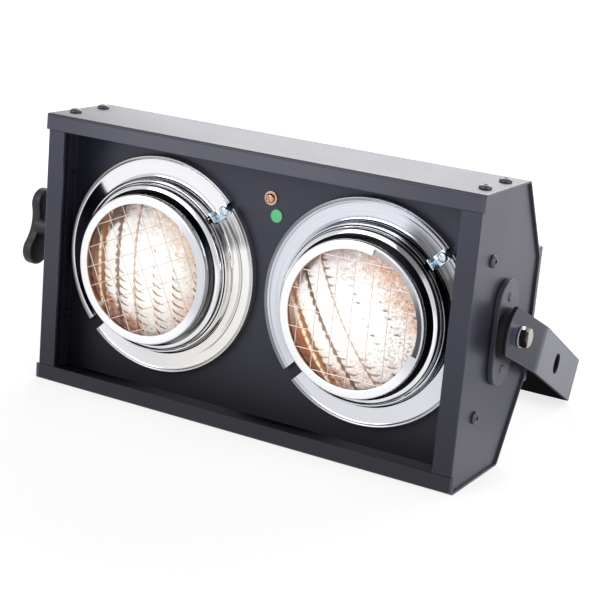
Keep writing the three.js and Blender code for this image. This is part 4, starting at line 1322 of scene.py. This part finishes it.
class BLINDER_OT_earth_point(PieceOperator, bpy.types.Operator):
    """Makes the earth screw, its washer and the plain label"""

    bl_idname = "blinder.earth_point"
    bl_label = "Earth Point"

    def build(self):
        x, z = 1.5, 178.8
        screw = button_screw(3.7, 2.4, hexed=False)
        pan = copied(screw, "earth_pan_screw", (x, depth(31.4), z), (0, -1, 0), spin=0.35)
        bpy.data.objects.remove(screw)
        finished(pan, "housing", "brass", "earth_screw")
        low, high = depth(31.7), depth(32.7)
        star = washer("earth_star_washer", 2.3, 5.4, low, high, 0.2, (x, 0, z), (0, 1, 0), 48)
        finished(star, "housing", "brass", "earth_washer")
        low = depth(32.2)
        label = washer("earth_disc", 0, 5, low, high, 0.1, (7.4, 0, 166), (0, 1, 0), 48)
        finished(label, "housing", "green_label", "earth_label")


class BLINDER_OT_trim_rings(PieceOperator, bpy.types.Operator):
    """Turns the split rings and cuts their slot and notch"""

    bl_idname = "blinder.trim_rings"
    bl_label = "Trim Rings"

    def build(self):
        profile = softened([
            (67.0, 18.5, 0.3), (68.2, 18.5, 0.5), (68.2, 28, 5.6), (83.6, 28, 0.9),
            (85.0, 26.6, 0.7), (85.9, 26.3, 0.4), (86.7, 26.8, 0.5), (86.7, 32.7, 0.2),
            (85.5, 32.7, 0.2), (85.5, 29.2, 0.6), (70.4, 29.2, 2.4), (68.2, 32.4, 1.6),
            (68.2, 36, 0.2), (67.0, 36, 0.2),
        ], 0.3, 4)
        for side in SIDES:
            ring = turned("split_ring_" + side, profile, lamp_centre(side))
            slot = block("slot", (60, depth(10), -2.75), (95, depth(40), 2.75))
            notch = block("notch", (68.2, depth(10), -5), (95, depth(40), 5))
            for cutter, angle in ((slot, CLAMP_ANGLE), (notch, NOTCH_ANGLE)):
                cut(ring, at_lamp(swung(cutter, (0, 0, 0), angle), side))
            finished(
                ring, "housing", "chrome", "trim_ring_" + side, finish="ring_chrome_" + side,
            )


class BLINDER_OT_ring_clips(PieceOperator, bpy.types.Operator):
    """Folds the clips that close the split rings, with their pan screws"""

    bl_idname = "blinder.ring_clips"
    bl_label = "Ring Clips"

    def build(self):
        screw = button_screw(4.0, 2.6, 2.0, 7.4, hexed=False)
        for side in SIDES:
            path = [(69.7, depth(18.4)), (69.7, depth(27.7)), (82.2, depth(27.7))]
            clip = slab("clip_" + side, strip(path, 4.6, -1.3), "XY", -4.3, 4.3)
            broken(clip, 0.25 * MM, 2, 50)
            swung(at_lamp(clip, side), lamp_centre(side), CLAMP_ANGLE)
            finished(clip, "housing", "zinc", "ring_clip_" + side)
            place = lamp_centre(side, 26.1) + around(CLAMP_ANGLE) * 78.5
            twin = copied(screw, "clip_pan_screw_" + side, place, (0, -1, 0), spin=0.5)
            finished(twin, "housing", "zinc", "ring_clip_screw_" + side)
        bpy.data.objects.remove(screw)


class BLINDER_OT_lamp_cups(PieceOperator, bpy.types.Operator):
    """Turns the chromed cups"""

    bl_idname = "blinder.lamp_cups"
    bl_label = "Lamp Cups"

    def build(self):
        profile = softened([
            (61.6, 12.3, 0.3), (62.2, 12.1, 0.3), (65.2, 13.5, 1.2), (66.4, 17, 1.2),
            (66.4, 56, 6), (52, 78, 6), (20, 84, 1), (20, 82.8, 0.3), (50.8, 77.2, 6),
            (65.2, 55.4, 6), (65.2, 20.0, 0.3), (51, 20.0, 0.3), (51, 18.8, 0.3),
            (65.2, 18.8, 0.3), (65.2, 17.2, 0.8), (64.2, 14.6, 0.8), (61.6, 13.2, 0.2),
        ], 0.3, 4)
        for side in SIDES:
            cup = turned("cup_can_" + side, profile, lamp_centre(side))
            finished(
                cup, "lamp_" + side, "chrome", "lamp_cup_" + side, finish="cup_chrome_" + side,
            )


class BLINDER_OT_bezels(PieceOperator, bpy.types.Operator):
    """Turns the satin bezels and opens the right-hand one"""

    bl_idname = "blinder.bezels"
    bl_label = "Bezels"

    def build(self):
        inner = 57.7
        profile = softened([
            (52, 2, 0.5), (59.2, 2, 2.2), (59.2, 8, 0.4), (58.4, 8, 0.3), (58.4, 18.5, 0.2),
            (inner, 18.5, 0.2), (inner, 3.4, 0.5), (52, 3.4, 0.3),
        ], 0.3, 4)
        for side in SIDES:
            bezel = turned("bezel_ring_" + side, profile, lamp_centre(side))
            if side == "right":
                arc = around_by(*[math.radians(angle) for angle in BEZEL_GAP], 24)
                outline = [(0, 0), *[(inner * u, inner * v) for u, v in arc]]
                cut(bezel, at_lamp(slab("wedge", outline, "XZ", depth(-3), depth(6)), side))
            finished(
                bezel, "lamp_" + side, "satin_steel", "bezel_" + side, finish="bezel_satin_" + side,
            )


class BLINDER_OT_guards(PieceOperator, bpy.types.Operator):
    """Lays the crossed wires of the guards"""

    bl_idname = "blinder.guards"
    bl_label = "Wire Guards"

    def build(self):
        pitch, radius = self.sizes.wire_pitch / MM, self.sizes.wire / MM / 2
        reach, nearest = 54.0, 3.45
        for side in SIDES:
            centre = lamp_centre(side)
            wires = []
            for i, upright in itertools.product(range(-3, 4), (False, True)):
                off = i * pitch
                half = math.sqrt(reach ** 2 - off ** 2)
                # the upright wires lie behind the level ones
                at = nearest + radius + (radius * 1.1 if upright else 0)
                ends = [(off, at, end) if upright else (end, at, off) for end in (-half, half)]
                wires.append(rod("wire", radius, *[centre + Vector(end) for end in ends], 8))
            ring = washer("guard_ring", 53.2, 56.9, 3.8, 5.0, 0.3, centre, (0, 1, 0), 96)
            guard = named(joined(ring, *wires), "guard_wires_" + side)
            swung(guard, centre, GUARD_TURNS[side])
            finished(
                guard, "lamp_" + side, "satin_steel", "wire_guard_" + side,
                finish="guard_steel_" + side,
            )


class BLINDER_OT_lenses(PieceOperator, bpy.types.Operator):
    """Presses the fluted lenses"""

    bl_idname = "blinder.lenses"
    bl_label = "Lamp Lenses"

    def build(self):
        rings, rim, apex, edge = 76, 57.0, 6.9, 13.9
        for side in SIDES:
            dome = [
                (rim * i / rings, apex + (edge - apex) * (i / rings) ** 2.2)
                for i in range(rings + 1)
            ]
            profile = [*dome, (rim, 15.2), (rim - 3, 15.2), (0, apex + 3.4)]
            lens = turned("lens_dome_" + side, profile, lamp_centre(side), steps=320)
            self.press(lens, side)
            finished(
                lens, "lamp_" + side, "lamp_glass", "lamp_lens_" + side,
                finish="lamp_glass_" + side, smooth=60,
            )

    def press(self, lens, side):
        """Sinks the long grooves and the curved cross ribs into the front of a lens."""
        centre = lamp_centre(side)
        pitch, rib = self.sizes.flute_pitch / MM, self.sizes.rib_pitch / MM
        front_end, pressed, long_flank = 12.5, 56, 0.8
        for vert in lens.data.vertices:
            spot = vert.co / MM - centre
            radius = math.hypot(spot.x, spot.z)
            if spot.y > front_end or radius > pressed:
                continue
            across, along = fluting(side, spot.x, spot.z, radius)
            share = (across / pitch + 0.5) % 1.0
            saw = ((along - RIB_SAG * (share - 0.5) ** 2) / rib) % 1.0
            slope = saw / long_flank if saw < long_flank else (1 - saw) / (1 - long_flank)
            groove = math.exp(-((min(share, 1 - share) * pitch / 1.2) ** 2))
            crown = math.sin(math.pi * share)
            fade = min(1.0, (pressed - radius) / 3) * MM
            relief = groove * self.sizes.flute_depth / MM - 0.7 * crown - 0.6 * slope * crown
            vert.co.y += fade * relief


class BLINDER_OT_pivots(PieceOperator, bpy.types.Operator):
    """Makes the pivot plates, friction discs, washers and the hex bolt"""

    bl_idname = "blinder.pivots"
    bl_label = "Pivots"

    def build(self):
        half_width, half_length, rivet_height = 17, 40, 27.35
        for side, way in SIDES.items():
            inner, outer = PANEL_X + SEAT, PANEL_X + SEAT + 4.5
            oval = stadium(PIVOT.y, PIVOT.z, half_width, half_length, 24)
            plate = slab("pivot_oval_" + side, oval, "YZ", way * inner, way * outer)
            broken(plate, 0.8 * MM, 3)
            cut(plate, pivot_rod(PIN_BORE, way * 180, way * 200))
            rivet_profile = softened([
                (0, outer - 2), (3.6, outer - 2), (3.6, outer + 0.35), (2.2, outer + 0.9, 1.2),
                (0, outer + 0.9),
            ], 0.3, 3, closed=False)
            rivets = [
                turned("rivet", rivet_profile, PIVOT + Vector((0, 0, shift)), (way, 0, 0), 32)
                for shift in (-rivet_height, rivet_height)
            ]
            plate = joined(plate, *rivets)
            finished(plate, "housing", "powder_coat", "pivot_plate_" + side)
            axis = (way, 0, 0)
            disc = washer(
                "friction_pad_" + side, PIN_BORE, 19, 190.6, 198.2, 0.6, PIVOT, axis, 96, steps=3,
            )
            finished(disc, "housing", "rubber", "friction_disc_" + side)
            flat = washer(
                "flat_washer_" + side, PIN_BORE, 8, 201.8, 203.4, 0.25, PIVOT, axis, 64,
            )
            node = "knob_washer" if side == "left" else "bolt_washer"
            finished(flat, "housing", "zinc", node)
        head_end = 209.0
        head = slab("hex_bolt", hexagon(13, PIVOT.y, PIVOT.z), "YZ", HEAD_SEAT, head_end)
        head = chamfered(head, PIVOT, (1, 0, 0), 6.2, head_end)
        cut(head, pivot_rod(4, PANEL_X - 14, 205), operation="UNION")
        finished(head, "housing", "zinc", "pivot_bolt", finish="bolt_steel", smooth=25)


class BLINDER_OT_yoke(PieceOperator, bpy.types.Operator):
    """Bends the yoke from one flat bar, drills it and lets it down to the floor"""

    bl_idname = "blinder.yoke"
    bl_label = "Yoke"

    def build(self):
        half, bar, bend, arm_end, arm, back = 18.0, 3.0, 8, 26.0, 201.5, 175.5
        path = [(arm, -arm_end), (arm, YOKE_BEND), (back, YOKE_BACK)]
        path += [(-x, y) for x, y in reversed(path)]
        yoke = slab("yoke_bar", strip(path, bend, bar), "XY", -half, half)
        cutters = [self.corner(arm_end)]
        oval = [(EYE_AT + v, u) for u, v in stadium(0, 0, 8, 10.8, 32)]
        cutters += [slab("eye", oval, "YZ", low, low + 50) for low in (-215, 165)]
        cutters += [rod("pin", PIN_BORE, (way * 165, 0, 0), (way * 215, 0, 0)) for way in (-1, 1)]
        cutters += [
            rod("hole", radius, (x, YOKE_BACK - 10, 0), (x, YOKE_BACK + 10, 0))
            for x, radius in ((-75, 5.5), (0, 6.5), (75, 5.5))
        ]
        cut(yoke, *cutters)
        broken(yoke, 0.5 * MM, 2, 50)
        turned_about(yoke, (0, 0, 0), (1, 0, 0), -math.degrees(YOKE_ANGLE))
        yoke.location = PIVOT * MM
        finished(yoke, "yoke", "powder_coat", "yoke", finish="yoke_coat")

    def corner(self, radius):
        """What is left of a square arm end outside its round one."""
        arc = [(-radius * u, -radius * v) for u, v in around_by(-math.pi / 2, math.pi / 2, 40)]
        return slab("corner", [*arc, (0, -40), (-40, -40), (-40, 40), (0, 40)], "YZ", -215, 215)


class BLINDER_OT_wing_knob(PieceOperator, bpy.types.Operator):
    """Moulds the wing knob with its hub"""

    bl_idname = "blinder.wing_knob"
    bl_label = "Wing Knob"

    def build(self):
        lobe, reach, waist = 12.2, 20.3, 7.2
        gain = lobe - waist
        bow = (reach ** 2 - gain ** 2) / (2 * gain)
        meet = math.atan2(reach, bow)
        outline = []
        for (u, v), radius, first, last in (
            ((0, reach), lobe, -meet, math.pi + meet),
            ((-bow, 0), bow - waist, meet, -meet),
            ((0, -reach), lobe, math.pi - meet, 2 * math.pi + meet),
            ((bow, 0), bow - waist, math.pi + meet, math.pi - meet),
        ):
            arc = around_by(first, last, 20)[:-1]
            outline += [(PIVOT.y + u + radius * y, PIVOT.z + v + radius * z) for y, z in arc]
        wings = slab("knob_wings", outline, "YZ", -241.5, -231.5)
        broken(wings, 2.6 * MM, 4, 60)
        hub = turned("knob_hub", softened([
            (PIN_BORE, HEAD_SEAT), (8, HEAD_SEAT), (7.6, 224), (9.5, 236), (0, 236), (0, 220),
            (PIN_BORE, 220),
        ], 0.8, 4), PIVOT, (-1, 0, 0), 64)
        knob = cut(wings, hub, operation="UNION")
        turned_about(knob, PIVOT, (1, 0, 0), -KNOB_TILT)
        finished(knob, "wing_knob", "black_plastic", "wing_knob", smooth=40)


class BLINDER_OT_inner_parts(PieceOperator, bpy.types.Operator):
    """Gives the parts that stay as the frame has them their finishes"""

    bl_idname = "blinder.inner_parts"
    bl_label = "Inner Parts"

    def build(self):
        kept = {
            "ceramic": ["terminal_block"],
            "black_plastic": ["gland_nut"],
            "mirror_glass": ["lamp_reflector_left", "lamp_reflector_right"],
            "tungsten": ["lamp_filament_left", "lamp_filament_right"],
            "brass": [f"lamp_terminal_{side}_{i}" for side in SIDES for i in (1, 2)],
            "zinc": [
                "ring_clip_nut_left", "ring_clip_nut_right", "pivot_nut", "knob_nut", "knob_stud",
            ],
        }
        for finish_name, nodes in kept.items():
            for node in nodes:
                dressed(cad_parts[node], finish_name)


class BLINDER_OT_stage(PieceOperator, bpy.types.Operator):
    """Sets the floor, the soft lights and the camera"""

    bl_idname = "blinder.stage"
    bl_label = "Stage"

    def build(self):
        scene = bpy.context.scene
        scene.view_settings.view_transform = "Standard"
        self.world(scene)
        self.floor()
        self.light("key", (-0.8, -1.9, 1.3), 1.5, 1.2, 21)
        self.light("side", (1.9, -0.2, 0.8), 1.3, 1.3, 12.5)
        self.light("back", (-0.2, 2.0, 1.3), 3.0, 1.2, 50)
        data = bpy.data.cameras.new("camera")
        data.lens, data.sensor_width = 96.316, 36
        camera = bpy.data.objects.new("camera", data)
        scene.collection.objects.link(camera)
        camera.location = (0.593836, -1.031195, 0.424252)
        camera.rotation_euler = [math.radians(angle) for angle in (74.683, -4.8746, 30.0277)]
        scene.camera = camera

    def world(self, scene):
        """White to the camera and in reflections, and a plain level of light for the rest."""
        world = bpy.data.worlds.new("studio")
        world.use_nodes = True
        scene.world = world
        tree = world.node_tree
        start = Shade(tree, None)
        camera = start.node("ShaderNodeLightPath", output="Is Camera Ray")
        level = 0.4 + seen(start) * 0.4 + camera * 0.2
        tree.links.new(level.socket, tree.nodes["Background"].inputs["Strength"])
        tree.nodes["Background"].inputs["Color"].default_value = (0.985, 0.985, 1.0, 1)

    def floor(self):
        """A pale floor that shows white where no shadow falls on it."""
        bpy.ops.object.select_all(action="DESELECT")
        bpy.ops.mesh.primitive_plane_add(size=14)
        floor = named(bpy.context.object, "floor")
        dressed(floor, "studio_floor")

    def light(self, name, place, width, high, power):
        data = bpy.data.lights.new(name, "AREA")
        data.shape, data.size, data.size_y, data.energy = "RECTANGLE", width, high, power
        lamp = bpy.data.objects.new(name, data)
        bpy.context.scene.collection.objects.link(lamp)
        lamp.location = place
        lamp.visible_camera = False
        way = Vector((0, 0, 0.1)) - lamp.location
        lamp.rotation_euler = way.to_track_quat("-Z", "Y").to_euler()


OPERATORS = (
    BLINDER_OT_stage,
    BLINDER_OT_shell,
    BLINDER_OT_side_panels,
    BLINDER_OT_baffle,
    BLINDER_OT_rear_cover,
    BLINDER_OT_gland,
    BLINDER_OT_case_screws,
    BLINDER_OT_earth_point,
    BLINDER_OT_trim_rings,
    BLINDER_OT_ring_clips,
    BLINDER_OT_lamp_cups,
    BLINDER_OT_bezels,
    BLINDER_OT_guards,
    BLINDER_OT_lenses,
    BLINDER_OT_pivots,
    BLINDER_OT_yoke,
    BLINDER_OT_wing_knob,
    BLINDER_OT_inner_parts,
)


class BLINDER_PT_panel(bpy.types.Panel):
    """Settings of the blinder and a button for each group of pieces"""

    bl_idname = "BLINDER_PT_panel"
    bl_label = "Audience Blinder"
    bl_space_type = "VIEW_3D"
    bl_region_type = "UI"
    bl_category = "Blinder"

    def draw(self, context):
        for settings in (context.scene.blinder_sizes, context.scene.blinder_colours):
            column = self.layout.column(align=True)
            for name in settings.bl_rna.properties.keys():
                if name not in ("rna_type", "name"):
                    column.prop(settings, name)
        column = self.layout.column(align=True)
        for operator in OPERATORS:
            column.operator(operator.bl_idname)


CLASSES = (BlinderSizes, BlinderColours, *OPERATORS, BLINDER_PT_panel)


def register():
    for cls in CLASSES:
        bpy.utils.register_class(cls)
    bpy.types.Scene.blinder_sizes = PointerProperty(type=BlinderSizes)
    bpy.types.Scene.blinder_colours = PointerProperty(type=BlinderColours)


def unregister():
    del bpy.types.Scene.blinder_colours
    del bpy.types.Scene.blinder_sizes
    for cls in reversed(CLASSES):
        bpy.utils.unregister_class(cls)


def main():
    """Builds every piece and the stage."""
    register()
    for operator in OPERATORS:
        group, name = operator.bl_idname.split(".")
        getattr(getattr(bpy.ops, group), name)()


if __name__ == "__main__":
    main()
